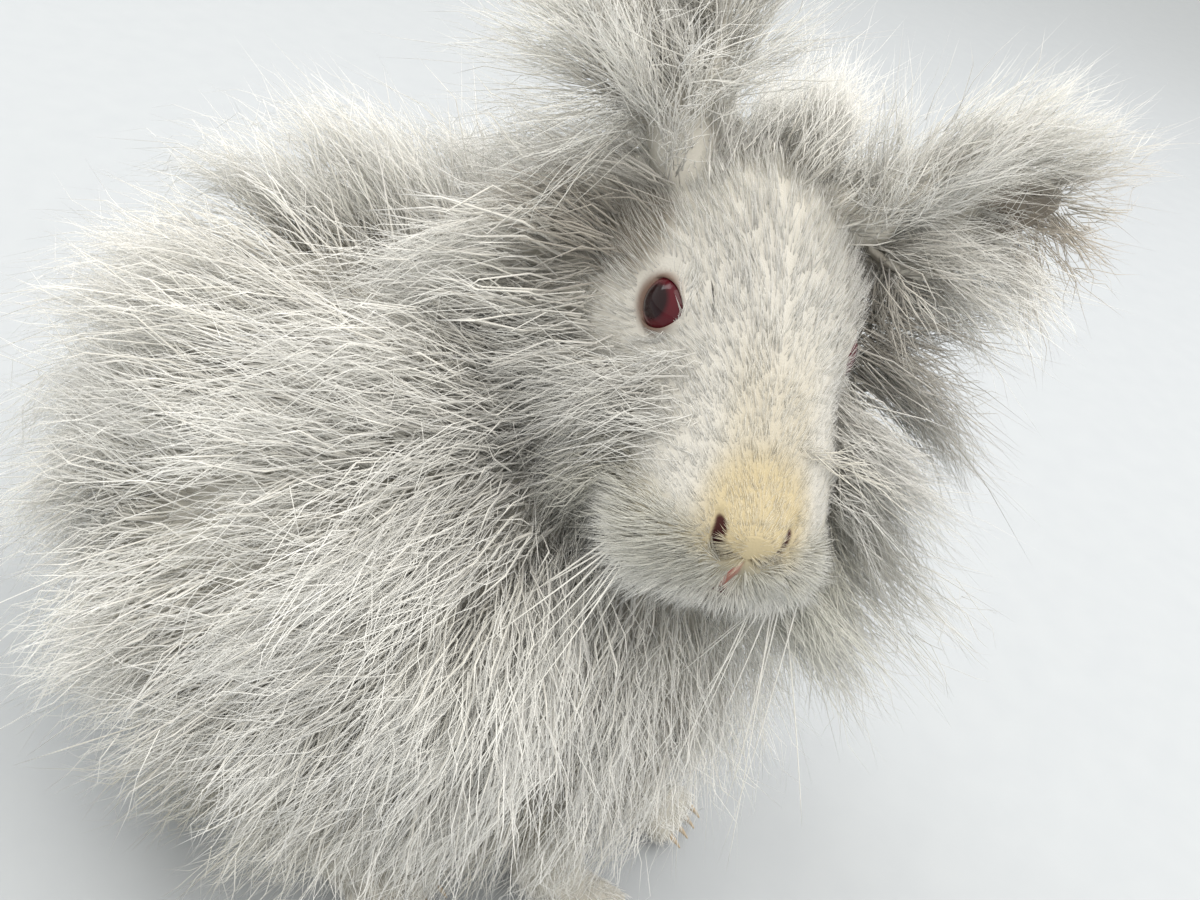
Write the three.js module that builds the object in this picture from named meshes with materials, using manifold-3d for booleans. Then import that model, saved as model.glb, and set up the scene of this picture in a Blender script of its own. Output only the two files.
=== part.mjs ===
// A small angora rabbit at life size, sitting with its front raised and its face turned to its right.
// Millimetres. The body faces -Y, its own left is +X and up is +Z. The floor is at Z = 0.
// The head, ears and neck are shaped in the head's own frame: nose tip at its origin, +Y back, +Z up.

import * as THREE from "three";
import { mergeVertices } from "three/addons/utils/BufferGeometryUtils.js";
import Module from "manifold-3d";

const wasm = await Module();
wasm.setup();

// Gap between nodes that touch, and how far the coat's lowest tips stay above the floor
const GAP = 0.3;
const FLOOR_CLEARANCE = 1.2;
const BIG = 500;
const MERGE_DISTANCE = 1e-3;
const ROUNDING = 1e3;
const SEED_TRIES = 12;
const SHORTENINGS = 6;
const LOWEST_TIP = 2;

// Turn of the head to the rabbit's right, its lift and its lean to the left, in degrees
const HEAD_TURN = 52;
const HEAD_LIFT = 1;
const HEAD_LEAN = 7;
const NOSE_TIP = [-53, -95, 171];

// Head: each row is one cross-section, from the nose back, as the distance behind the nose tip,
// half the width, the top and the bottom
const HEAD_SECTIONS = [
  [-1.5, 5, 5.5, -5.5],
  [1.5, 13, 10, -12],
  [7, 19.5, 15.5, -17],
  [15, 23, 24, -20.5],
  [27, 24.5, 36, -22],
  [40, 26.5, 46, -21.5],
  [53, 30.5, 53, -20],
  [66, 33, 57, -16],
  [82, 31, 57, -9],
  [98, 25, 47, 2],
];
const HEAD_RINGS = 23;
const HEAD_SIDES = 28;
const HEAD_SQUARENESS = 2.15;
const HEAD_RING_CROWDING = 1.45;
const WHISKER_PAD = { place: [13, 8, -6], radius: 10, rise: 2.4 };
const NOSE_PAD = { place: [5, 0, 4], radius: 5.5, rise: 1.2 };
const CHEEK = { place: [29, 58, 2], radius: 20, rise: 3 };
const CHIN = { place: [0, 12, -20], radius: 8, rise: 1.5 };
const TEAR_HOLLOW = { place: [22, 28, 24], radius: 9, rise: -1.6 };
const BROW = { place: [22, 43, 33], radius: 13, rise: 1.8 };

// Eyes: the ball, the lids round it and the opening between them
const EYE_CENTRE = [16.4, 42, 27.5];
const EYE_WAY = [0.94, -0.28, 0.16];
const EYE_RADIUS = 8.2;
const LID_THICKNESS = 1.4;
const EYE_OPENING = [13, 10];
const EYE_OPENING_TILT = -18;

// Nostrils, the line under the nose and the mouth
const NOSE_JUNCTION = [0, -1.5, -2.5];
const NOSTRIL_END = [7.6, 3, 5.2];
const NOSTRIL_WIDTH = 2.3;
const LIP_PART_END = [0, 3, -11];
const MOUTH_CORNER = [12, 19, -12.5];
const LINE_WIDTH = 1.1;
const LINE_DEPTH = 4.5;

// Ears: the foot on the head, the way each points, and the cup
const EAR_FOOT = [15.5, 74, 47];
const EAR_RIGHT_WAY = [-0.4, 0.42, 0.82];
const EAR_LEFT_WAY = [0.86, 0.02, 0.33];
const EAR_LENGTH = 60;
const EAR_HALF_WIDTH = 15;
const EAR_FOOT_RADIUS = 8.2;
const EAR_FOOT_FORWARD = 6;
const EAR_CUP_START = 10;
const EAR_WALL = 2.2;
const EAR_SINK = 7;
const EAR_FRINGE = { count: 14, length: 29, width: 14, thickness: 3, droop: 0.16 };

// Wool of the cheeks, which grows from the head in front of the neck
const CHEEK_WOOL = { rows: 3, perRow: 5, leftLength: 66, rightLength: 54, width: 23, thickness: 5 };
const CHEEK_LOW = -80;
const CHEEK_FALL_LEFT = -0.42;
const CHEEK_FALL_RIGHT = -0.12;
const CHEEK_ROW_SWING = 0.24;
const CHEEK_ROOTS = { out: 23, depth: 44, rowGap: 9, height: 12, rise: 25, back: 12 };
const CHEEK_DROOP = 0.12;
const CHEEK_TOP_LEFT = 8;
const CHEEK_TOP_RIGHT = 34;

// The cut between head and neck in the head's frame, and the two between neck and torso in the
// body's, each as a point and its normal
const HEAD_CUT = { point: [0, 62, -16], normal: [0, 0.886, -0.463] };
const THROAT_CUT = { point: [0, -59, 141], normal: [0, 0.05, 1] };
const NAPE_CUT = { point: [0, -59, 141], normal: [0, -0.5, 0.866] };

// Neck: its core in the head's frame, and the ruff that stands round it
const NECK_CORE = { centre: [0, 82, 4], radii: [46, 40, 47] };
const RUFF = { count: 44, length: 52, width: 31, thickness: 8, rise: 20 };

// Torso: two cores, one round the body and one in the chest, and the wool's reach above them
const BODY_CORE = { centre: [0, 4, 91], radii: [84, 88, 76] };
const CHEST_CORE = { centre: [2, -50, 94], radii: [56, 46, 56] };
const BODY_WOOL = { count: 52, length: 76, width: 44, thickness: 11, rise: 24 };
const CHEST_WOOL = { count: 44, length: 58, width: 32, thickness: 9, rise: 17 };
const COAT_LIE = [0, 0.8, -0.6];
const RUMP_LIE = [0, 0.15, -1];
const CHEST_LIE = [0.25, -0.15, -1];
const RUFF_LIE = [0.35, 0.8, 0.15];
const RUMP_START = 25;
const RUMP_LENGTH = 55;
const PARTING_WIDTH = 30;

// Hind legs: the space each takes under the wool, the shank and its wool, the foot and its toes
const HIND_SPACE = { low: [28, -66, -5], high: [82, 52, 25] };
const SHANK = { centre: [54, 14, 16], radii: [17, 30, 12] };
const SHANK_WOOL = { count: 6, length: 34, width: 24, thickness: 8, rise: 9 };
const HIND_FOOT = { heel: [52, 34, 10], toe: [56, -42, 8], radius: 11 };

// Front legs
const FRONT_SPACE = { low: [7, -114, -5], high: [40, -54, 25] };
const FRONT_LEG = { elbow: [22, -66, 34], wrist: [23, -76, 12], radius: 11 };
const FRONT_PAW = { back: [23, -70, 8], toe: [24, -90, 7], radius: 9 };
const FRONT_WOOL = { count: 6, length: 26, width: 18, thickness: 7, rise: 6 };

// Feet: toes and claws
const TOE_RADIUS = 4.6;
const CLAW_LENGTH = 8;
const CLAW_RADIUS = 1.5;

// Tail
const TAIL_SPACE = { low: [-22, 94, 26], high: [22, 160, 78] };
const TAIL_CORE = { centre: [0, 98, 52], radii: [13, 18, 18] };
const TAIL_WOOL = { count: 8, length: 24, width: 18, thickness: 7, rise: 11 };

// Colours
const COAT = 0xcfccc5;
const COAT_LOW = 0xb1ab95;
const FACE = 0xd0cdc8;
const EAR = 0xd4d1cb;
const EYE = 0x4a1f22;
const PAW = 0xd8d2c4;

// Seeded random numbers
function randomFrom(seed) {
  let state = seed;
  return () => {
    state = (state + 0x6d2b79f5) | 0;
    let t = Math.imul(state ^ (state >>> 15), 1 | state);
    t = (t + Math.imul(t ^ (t >>> 7), 61 | t)) ^ t;
    return ((t ^ (t >>> 14)) >>> 0) / 4294967296;
  };
}

// Closed geometry to a solid, and a solid back to a geometry
function solidOf(geometry) {
  const bare = geometry.clone();
  bare.deleteAttribute("normal");
  bare.deleteAttribute("uv");
  const merged = mergeVertices(bare, MERGE_DISTANCE);
  const mesh = new wasm.Mesh({
    numProp: 3,
    vertProperties: new Float32Array(merged.attributes.position.array),
    triVerts: new Uint32Array(merged.index.array),
  });
  return new wasm.Manifold(mesh);
}

function geometryOf(solid) {
  const mesh = solid.getMesh();
  const geometry = new THREE.BufferGeometry();
  geometry.setAttribute("position", new THREE.BufferAttribute(new Float32Array(mesh.vertProperties), 3));
  geometry.setIndex(new THREE.BufferAttribute(new Uint32Array(mesh.triVerts), 1));
  geometry.computeVertexNormals();
  return geometry;
}

function largest(solid) {
  let best = null;
  for (const piece of solid.decompose()) {
    if (!best || piece.volume() > best.volume()) {
      best = piece;
    }
  }
  return best;
}

function joined(solids) {
  return wasm.Manifold.union(solids);
}

// Rings of points, joined in order and closed by a point at each end, as one closed solid.
// Rings that turn the other way would face inwards, so their faces are then turned over.
function loftSolid(rings, startPoint, endPoint) {
  const sides = rings[0].length;
  const points = [startPoint, ...rings.flat(), endPoint];
  const last = points.length - 1;
  const faces = [];
  for (let i = 0; i < sides; i += 1) {
    const next = (i + 1) % sides;
    faces.push([0, 1 + next, 1 + i]);
    faces.push([last, last - sides + i, last - sides + next]);
    for (let r = 0; r + 1 < rings.length; r += 1) {
      const a = 1 + r * sides;
      const b = a + sides;
      faces.push([a + i, a + next, b + i]);
      faces.push([a + next, b + next, b + i]);
    }
  }
  const geometry = new THREE.BufferGeometry();
  const flat = points.flatMap((p) => [p.x, p.y, p.z]);
  geometry.setAttribute("position", new THREE.Float32BufferAttribute(flat, 3));
  geometry.setIndex(faces.flat());
  const solid = solidOf(geometry);
  if (solid.volume() > 0) {
    return solid;
  }
  geometry.setIndex(faces.flatMap(([a, b, c]) => [a, c, b]));
  return solidOf(geometry);
}

function boxSolid(low, high) {
  const geometry = new THREE.BoxGeometry(high[0] - low[0], high[1] - low[1], high[2] - low[2]);
  geometry.translate((low[0] + high[0]) / 2, (low[1] + high[1]) / 2, (low[2] + high[2]) / 2);
  return solidOf(geometry);
}

function ellipsoidSolid({ centre, radii }, across = 20, down = 12) {
  const geometry = new THREE.SphereGeometry(1, across, down);
  geometry.scale(...radii);
  geometry.translate(...centre);
  return solidOf(geometry);
}

// A rounded bar from one point to another
function barSolid(from, to, radius, flatness = 1, sides = 8) {
  const start = new THREE.Vector3(...from);
  const end = new THREE.Vector3(...to);
  const geometry = new THREE.CapsuleGeometry(radius, start.distanceTo(end), 3, sides);
  geometry.scale(1, 1, flatness);
  const turn = new THREE.Matrix4().makeRotationFromQuaternion(
    new THREE.Quaternion().setFromUnitVectors(
      new THREE.Vector3(0, 1, 0),
      end.clone().sub(start).normalize(),
    ),
  );
  geometry.applyMatrix4(turn);
  const middle = start.add(end).multiplyScalar(0.5);
  geometry.translate(middle.x, middle.y, middle.z);
  return solidOf(geometry);
}

// Everything on the far side of a plane from its normal is kept, less a share of the gap
function cutBeyond(solid, { point, normal }, clearance) {
  const away = new THREE.Vector3(...normal).normalize();
  const offset = new THREE.Vector3(...point).dot(away) - clearance;
  return solid.trimByPlane([-away.x, -away.y, -away.z], -offset);
}

function opposite({ point, normal }) {
  return { point, normal: normal.map((value) => -value) };
}

function mirrored([x, y, z], side) {
  return [side * x, y, z];
}

function mirroredForm({ centre, radii }, side) {
  return { centre: mirrored(centre, side), radii };
}

function sideBox({ low, high }, side, margin) {
  const first = side * (low[0] - margin);
  const second = side * (high[0] + margin);
  return boxSolid(
    [Math.min(first, second), low[1] - margin, low[2] - margin],
    [Math.max(first, second), high[1] + margin, high[2] + margin],
  );
}

// The point of an ellipsoid's surface straight out from its centre through p, and the way out there
function onEllipsoid({ centre, radii }, p) {
  const local = new THREE.Vector3(
    (p.x - centre[0]) / radii[0],
    (p.y - centre[1]) / radii[1],
    (p.z - centre[2]) / radii[2],
  );
  local.normalize();
  const point = new THREE.Vector3(
    centre[0] + local.x * radii[0],
    centre[1] + local.y * radii[1],
    centre[2] + local.z * radii[2],
  );
  const out = new THREE.Vector3(local.x / radii[0], local.y / radii[1], local.z / radii[2]);
  return { point, out: out.normalize() };
}

function inside({ centre, radii }, p) {
  const x = (p.x - centre[0]) / radii[0];
  const y = (p.y - centre[1]) / radii[1];
  const z = (p.z - centre[2]) / radii[2];
  return x * x + y * y + z * z < 1;
}

// The section of a lock: flat below and raised along its middle
function flatRing(place, across, up, half, thick) {
  return [
    place.clone().addScaledVector(across, half).addScaledVector(up, -0.5 * thick),
    place.clone().addScaledVector(up, thick),
    place.clone().addScaledVector(across, -half).addScaledVector(up, -0.5 * thick),
  ];
}

// One lock: a flat strand of wool that leaves its core, follows the lie of the coat and rises to its tip.
// It swells a little above the root and runs out to a point. bend swings it sideways.
const LOCK_STEPS = [0, 0.36, 0.72, 1];
const LOCK_SWELL = [0.75, 1, 0.66, 0];

const LOCK_STIFFNESS = 1.5;
const PATH_STEPS = 12;

// A lock's way: along the lie and pulled down by its weight, but never nearer to the core than a height
// that grows from below its surface at the root to the lock's rise at the tip. So it hangs free where
// the core curves in beneath it.
function lockPath(core, root, lie, { length, thickness, rise }, bend) {
  const { point, out } = onEllipsoid(core, root);
  const sunk = -Math.min(0.55 * thickness + 3, 9);
  const path = [{ place: point.clone().addScaledVector(out, sunk), out }];
  const heading = lie(point, out).clone();
  for (let i = 1; i <= PATH_STEPS; i += 1) {
    const t = i / PATH_STEPS;
    const last = path[i - 1];
    const way = lie(last.place, last.out).clone().addScaledVector(heading, LOCK_STIFFNESS);
    way.addScaledVector(last.out, -Math.min(0, way.dot(last.out))).normalize();
    const sideways = new THREE.Vector3().crossVectors(way, last.out);
    way.addScaledVector(sideways, bend * (t - 0.4) / LOCK_STIFFNESS).normalize();
    heading.copy(way);
    const place = last.place.clone().addScaledVector(way, length / PATH_STEPS);
    const near = onEllipsoid(core, place);
    const height = sunk + (rise - sunk) * Math.pow(t, 0.85);
    const short = height - place.clone().sub(near.point).dot(near.out);
    place.addScaledVector(near.out, Math.max(0, short));
    path.push({ place, out: near.out });
  }
  return path;
}

function lockSolid(path, { width, thickness }) {
  const stations = [];
  for (let k = 0; k < LOCK_STEPS.length; k += 1) {
    const at = LOCK_STEPS[k] * PATH_STEPS;
    const low = Math.min(Math.floor(at), PATH_STEPS - 1);
    const place = path[low].place.clone().lerp(path[low + 1].place, at - low);
    const ahead = path[low + 1].place.clone().sub(path[low].place).normalize();
    const across = new THREE.Vector3().crossVectors(ahead, path[low].out).normalize();
    const up = new THREE.Vector3().crossVectors(across, ahead).normalize();
    stations.push({ place, across, up, ahead });
  }
  const rings = stations.slice(0, -1).map(({ place, across, up }, k) => {
    const half = 0.5 * width * LOCK_SWELL[k];
    const thick = 0.5 * thickness * (0.35 + 0.65 * LOCK_SWELL[k]);
    return flatRing(place, across, up, half, thick);
  });
  const first = stations[0];
  const rootPoint = first.place.clone().addScaledVector(first.ahead, -0.3 * thickness);
  return loftSolid(rings, rootPoint, stations[stations.length - 1].place);
}

// Roots spread evenly over an ellipsoid, each moved a little from its even place
function spreadRoots(core, count, random, wanted) {
  const roots = [];
  const golden = Math.PI * (3 - Math.sqrt(5));
  for (let i = 0; i < count; i += 1) {
    const height = 1 - (2 * (i + 0.5)) / count;
    const ring = Math.sqrt(1 - height * height);
    const angle = i * golden + 0.35 * (random() - 0.5);
    const direction = new THREE.Vector3(
      core.radii[0] * ring * Math.cos(angle),
      core.radii[1] * ring * Math.sin(angle),
      core.radii[2] * (height + (0.5 / count) * (random() - 0.5)),
    );
    direction.add(new THREE.Vector3(...core.centre));
    const { point, out } = onEllipsoid(core, direction);
    if (wanted(point, out)) {
      roots.push(point);
    }
  }
  return roots;
}

// The locks of one stretch of wool, varied in length, width and bend. One that would end in a space
// that another node takes is made shorter until it doesn't.
function woolSolids(core, size, lie, random, wanted = () => true, taken = () => false) {
  return spreadRoots(core, size.count, random, wanted).map((root) => {
    const longer = 0.85 + 0.3 * random();
    const varied = {
      length: size.length * longer,
      width: size.width * (0.85 + 0.3 * random()),
      thickness: size.thickness,
      rise: size.rise * (0.8 + 0.4 * random()),
    };
    const bend = 0.9 * (random() - 0.5);
    let path = lockPath(core, root, lie, varied, bend);
    const blocked = () => path.slice(PATH_STEPS / 2).some(({ place }) => taken(place));
    for (let tries = 0; tries < SHORTENINGS && blocked(); tries += 1) {
      varied.length *= 0.82;
      path = lockPath(core, root, lie, varied, bend);
    }
    return lockSolid(path, varied);
  });
}

// Smooth value between rows of a table, the first column being the place
function rowAt(rows, place) {
  let i = 0;
  while (i < rows.length - 2 && rows[i + 1][0] < place) {
    i += 1;
  }
  const before = rows[Math.max(i - 1, 0)];
  const from = rows[i];
  const to = rows[i + 1];
  const after = rows[Math.min(i + 2, rows.length - 1)];
  const span = to[0] - from[0];
  const t = Math.min(Math.max((place - from[0]) / span, 0), 1);
  return from.map((value, column) => {
    const slopeIn = (span * (to[column] - before[column])) / Math.max(to[0] - before[0], 1e-6);
    const slopeOut = (span * (after[column] - value)) / Math.max(after[0] - from[0], 1e-6);
    const t2 = t * t;
    const t3 = t2 * t;
    return (
      value * (2 * t3 - 3 * t2 + 1) +
      slopeIn * (t3 - 2 * t2 + t) +
      to[column] * (3 * t2 - 2 * t3) +
      slopeOut * (t3 - t2)
    );
  });
}

// Swellings and hollows of the head's surface, each on both sides
const HEAD_FORMS = [WHISKER_PAD, NOSE_PAD, CHEEK, CHIN, TEAR_HOLLOW, BROW];

function headPush(point) {
  let push = 0;
  for (const { place, radius, rise } of HEAD_FORMS) {
    for (const side of place[0] === 0 ? [1] : [1, -1]) {
      const away = point.distanceToSquared(new THREE.Vector3(...mirrored(place, side)));
      push += rise * Math.exp(-away / (radius * radius));
    }
  }
  return push;
}

function headSurface() {
  const rings = [];
  const start = HEAD_SECTIONS[0][0];
  const end = HEAD_SECTIONS[HEAD_SECTIONS.length - 1][0];
  for (let r = 0; r < HEAD_RINGS; r += 1) {
    const place = start + (end - start) * Math.pow(r / (HEAD_RINGS - 1), HEAD_RING_CROWDING);
    const [, half, top, bottom] = rowAt(HEAD_SECTIONS, place);
    const middle = (top + bottom) / 2;
    const tall = (top - bottom) / 2;
    const axis = new THREE.Vector3(0, place + 6, middle);
    const ring = [];
    for (let s = 0; s < HEAD_SIDES; s += 1) {
      const angle = (2 * Math.PI * s) / HEAD_SIDES;
      const c = Math.cos(angle);
      const d = Math.sin(angle);
      const power = 2 / HEAD_SQUARENESS;
      const point = new THREE.Vector3(
        half * Math.sign(c) * Math.pow(Math.abs(c), power),
        place,
        middle + tall * Math.sign(d) * Math.pow(Math.abs(d), power),
      );
      const out = point.clone().sub(axis).normalize();
      ring.push(point.addScaledVector(out, headPush(point)));
    }
    rings.push(ring);
  }
  const front = new THREE.Vector3(0, start - 1.4, 0);
  const back = new THREE.Vector3(0, end, (HEAD_SECTIONS[HEAD_SECTIONS.length - 1][2]) / 2);
  return loftSolid(rings, front, back);
}

// A thin blade along a curve of points on the face, from outside it to a depth below it
function creaseSolid(points, width, depth, deepTowards) {
  const rings = [];
  const curve = new THREE.CatmullRomCurve3(points.map((p) => new THREE.Vector3(...p)));
  const steps = 8;
  const target = new THREE.Vector3(...deepTowards);
  for (let i = 0; i <= steps; i += 1) {
    const t = i / steps;
    const place = curve.getPoint(t);
    const ahead = curve.getTangent(t);
    const inward = target.clone().sub(place);
    inward.addScaledVector(ahead, -inward.dot(ahead)).normalize();
    const across = new THREE.Vector3().crossVectors(ahead, inward).normalize();
    const half = 0.5 * width * (0.45 + 0.55 * Math.sin(Math.PI * Math.min(1, 0.15 + 0.7 * t)));
    rings.push([
      place.clone().addScaledVector(inward, -5).addScaledVector(across, 1.6 * half),
      place.clone().addScaledVector(inward, -5).addScaledVector(across, -1.6 * half),
      place.clone().addScaledVector(inward, depth).addScaledVector(across, -0.3 * half),
      place.clone().addScaledVector(inward, depth).addScaledVector(across, 0.3 * half),
    ]);
  }
  const startAt = curve.getPoint(0).addScaledVector(curve.getTangent(0), -0.2);
  const endAt = curve.getPoint(1).addScaledVector(curve.getTangent(1), 0.2);
  return loftSolid(rings, startAt, endAt);
}

function eyeBall(side, radius, across = 14, down = 9) {
  const round = { centre: mirrored(EYE_CENTRE, side), radii: [radius, radius, radius] };
  return ellipsoidSolid(round, across, down);
}

// The opening between the lids: an almond that runs out sideways from the eye's centre
function lidOpening(side) {
  const outline = new THREE.Shape();
  const [long, high] = EYE_OPENING;
  outline.moveTo(-long / 2, 0);
  outline.quadraticCurveTo(-long * 0.28, high / 2, 0, high / 2);
  outline.quadraticCurveTo(long * 0.32, high / 2, long / 2, 0);
  outline.quadraticCurveTo(long * 0.3, -high / 2, 0, -high / 2);
  outline.quadraticCurveTo(-long * 0.3, -high / 2, -long / 2, 0);
  const geometry = new THREE.ExtrudeGeometry(outline, { depth: 20, bevelEnabled: false, curveSegments: 3 });
  geometry.rotateZ(THREE.MathUtils.degToRad(side * EYE_OPENING_TILT));
  const way = new THREE.Vector3(...mirrored(EYE_WAY, side)).normalize();
  const along = new THREE.Vector3(0, 0, 1).cross(way).normalize();
  const up = new THREE.Vector3().crossVectors(way, along);
  geometry.applyMatrix4(new THREE.Matrix4().makeBasis(along, up, way));
  geometry.translate(...mirrored(EYE_CENTRE, side));
  return solidOf(geometry);
}

function earFrame(side) {
  const way = new THREE.Vector3(...(side < 0 ? EAR_RIGHT_WAY : EAR_LEFT_WAY)).normalize();
  const foot = new THREE.Vector3(...mirrored(EAR_FOOT, side));
  const openWay = new THREE.Vector3(side * 0.5, -0.85, 0.1);
  openWay.addScaledVector(way, -openWay.dot(way)).normalize();
  const across = new THREE.Vector3().crossVectors(way, openWay).normalize();
  return { way, foot, openWay, across };
}

// The round foot of an ear, sunk into the head, and the same a gap wider for the hollow that takes it
function earFoot(side, margin) {
  const { way, foot, openWay } = earFrame(side);
  const axis = foot.clone().addScaledVector(openWay, EAR_FOOT_FORWARD);
  const from = axis.clone().addScaledVector(way, -EAR_SINK + EAR_FOOT_RADIUS);
  const to = axis.clone().addScaledVector(way, EAR_CUP_START + 1);
  return barSolid(from.toArray(), to.toArray(), EAR_FOOT_RADIUS + margin, 1, 10);
}

function headSolid(random) {
  const skull = [headSurface(), ...cheekLocks(random)];
  for (const side of [1, -1]) {
    skull.push(eyeBall(side, EYE_RADIUS + LID_THICKNESS));
  }
  let head = joined(skull);
  const inward = [0, 30, -4];
  const cuts = [
    creaseSolid([NOSE_JUNCTION, LIP_PART_END], LINE_WIDTH, 2.2, [0, 30, -7]),
    creaseSolid(
      [mirrored(MOUTH_CORNER, -1), [-7, 8, -13.5], [0, 3.6, -11.5], [7, 8, -13.5], MOUTH_CORNER],
      LINE_WIDTH * 1.5,
      LINE_DEPTH,
      [0, 30, -9],
    ),
  ];
  for (const side of [1, -1]) {
    const end = mirrored(NOSTRIL_END, side);
    const middle = mirrored([4.6, 0, -0.5], side);
    cuts.push(creaseSolid([NOSE_JUNCTION, middle, end], NOSTRIL_WIDTH, LINE_DEPTH, inward));
    cuts.push(eyeBall(side, EYE_RADIUS + GAP));
    cuts.push(lidOpening(side));
    cuts.push(earFoot(side, GAP));
  }
  head = head.subtract(joined(cuts));
  return largest(aboveTorso(cutBeyond(head, HEAD_CUT, GAP / 2)));
}

// The cup of an ear: a curled leaf, rolled near its foot and open towards its tip
function earSolid(side, random) {
  const { way, foot, openWay, across } = earFrame(side);
  const rings = [];
  const lengthSteps = 9;
  const roundSteps = 6;
  for (let i = 0; i <= lengthSteps; i += 1) {
    const t = i / lengthSteps;
    const along = EAR_CUP_START + (EAR_LENGTH - EAR_CUP_START) * t;
    const halfWidth = EAR_HALF_WIDTH * Math.pow(Math.sin(Math.PI * (0.16 + 0.8 * t)), 0.75);
    const curl = THREE.MathUtils.degToRad(150 - 95 * Math.min(1, t * 1.5));
    const radius = halfWidth / Math.sin(Math.min(curl, Math.PI / 2));
    const lean = 5 * t * t;
    const centre = foot.clone().addScaledVector(way, along).addScaledVector(openWay, lean + radius * 0.75);
    const ring = [];
    for (const inner of [false, true]) {
      for (let s = 0; s <= roundSteps; s += 1) {
        const share = inner ? 1 - s / roundSteps : s / roundSteps;
        const angle = curl * (2 * share - 1);
        const reach = inner ? radius - EAR_WALL : radius;
        ring.push(
          centre
            .clone()
            .addScaledVector(across, reach * Math.sin(angle))
            .addScaledVector(openWay, -reach * Math.cos(angle)),
        );
      }
    }
    rings.push(ring);
  }
  const middleOf = (ring) => {
    const half = Math.floor(ring.length / 4);
    return ring[half].clone().add(ring[ring.length - 1 - half]).multiplyScalar(0.5);
  };
  const cup = loftSolid(rings, middleOf(rings[0]), middleOf(rings[rings.length - 1]));
  const locks = earFringe(side, random);
  return largest(joined([cup, earFoot(side, 0), ...locks]));
}

// Long hair on the back and along both edges of an ear, fanning out past its tip
function earFringe(side, random) {
  const { way, foot, openWay, across } = earFrame(side);
  const { count, length, width, thickness, droop } = EAR_FRINGE;
  const locks = [];
  for (let i = 0; i < count; i += 1) {
    const t = 0.3 + (0.68 * (i % (count / 2))) / (count / 2 - 1);
    const edge = i < count / 2 ? 1 : -1;
    const halfWidth = EAR_HALF_WIDTH * Math.pow(Math.sin(Math.PI * (0.16 + 0.8 * t)), 0.75);
    const curl = THREE.MathUtils.degToRad(150 - 95 * Math.min(1, t * 1.5));
    const radius = halfWidth / Math.sin(Math.min(curl, Math.PI / 2));
    const angle = edge * curl * (0.35 + 0.5 * random());
    const out = new THREE.Vector3()
      .addScaledVector(across, Math.sin(angle))
      .addScaledVector(openWay, -Math.cos(angle));
    const start = foot
      .clone()
      .addScaledVector(way, EAR_CUP_START + (EAR_LENGTH - EAR_CUP_START) * t)
      .addScaledVector(openWay, 5 * t * t + radius * 0.75)
      .addScaledVector(out, radius - 0.5 * EAR_WALL);
    const heading = new THREE.Vector3()
      .addScaledVector(way, 0.35 + 1.1 * t)
      .addScaledVector(across, edge * (0.75 - 0.45 * t))
      .addScaledVector(out, 0.35)
      .normalize();
    locks.push(freeLock(start, heading, out, length * (0.8 + 0.5 * random()), width, thickness, droop));
  }
  return locks;
}

// A lock that stands free of any core: straight at its root, then bent a little back from bendFrom and
// down by its weight
function freeLock(start, heading, bendFrom, length, width, thickness, droop) {
  const rings = [];
  const steps = [0, 0.35, 0.7];
  const swell = [0.75, 1, 0.6];
  const placeAt = (t) =>
    start
      .clone()
      .addScaledVector(heading, length * t)
      .addScaledVector(bendFrom, -0.12 * length * t * t)
      .addScaledVector(DOWN_IN_HEAD, droop * length * t * t);
  for (let k = 0; k < steps.length; k += 1) {
    const ahead = placeAt(steps[k] + 0.01).sub(placeAt(steps[k] - 0.01)).normalize();
    const across = new THREE.Vector3().crossVectors(ahead, bendFrom).normalize();
    const up = new THREE.Vector3().crossVectors(across, ahead).normalize();
    const half = 0.5 * width * swell[k];
    const thick = 0.5 * thickness * (0.4 + 0.6 * swell[k]);
    rings.push(flatRing(placeAt(steps[k]), across, up, half, thick));
  }
  const root = start.clone().addScaledVector(heading, -0.4);
  return loftSolid(rings, root, placeAt(1));
}

// The head's own frame inside the body's
const headPlace = new THREE.Matrix4();
headPlace.makeRotationZ(THREE.MathUtils.degToRad(-HEAD_TURN));
headPlace.multiply(new THREE.Matrix4().makeRotationX(THREE.MathUtils.degToRad(-HEAD_LIFT)));
headPlace.multiply(new THREE.Matrix4().makeRotationY(THREE.MathUtils.degToRad(HEAD_LEAN)));
headPlace.setPosition(...NOSE_TIP);
const bodyInHead = headPlace.clone().invert();
const DOWN_IN_HEAD = new THREE.Vector3(0, 0, -1).transformDirection(bodyInHead);

function inHead({ point, normal }) {
  return {
    point: new THREE.Vector3(...point).applyMatrix4(bodyInHead).toArray(),
    normal: new THREE.Vector3(...normal).transformDirection(bodyInHead).toArray(),
  };
}

// What is left of a solid in the head's frame above the two cuts on top of the torso
function aboveTorso(solid) {
  const overThroat = cutBeyond(solid, opposite(inHead(THROAT_CUT)), GAP / 2);
  return cutBeyond(overThroat, opposite(inHead(NAPE_CUT)), GAP / 2);
}

function below({ point, normal }, x, y, z) {
  return (x - point[0]) * normal[0] + (y - point[1]) * normal[1] + (z - point[2]) * normal[2] < 0;
}

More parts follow.
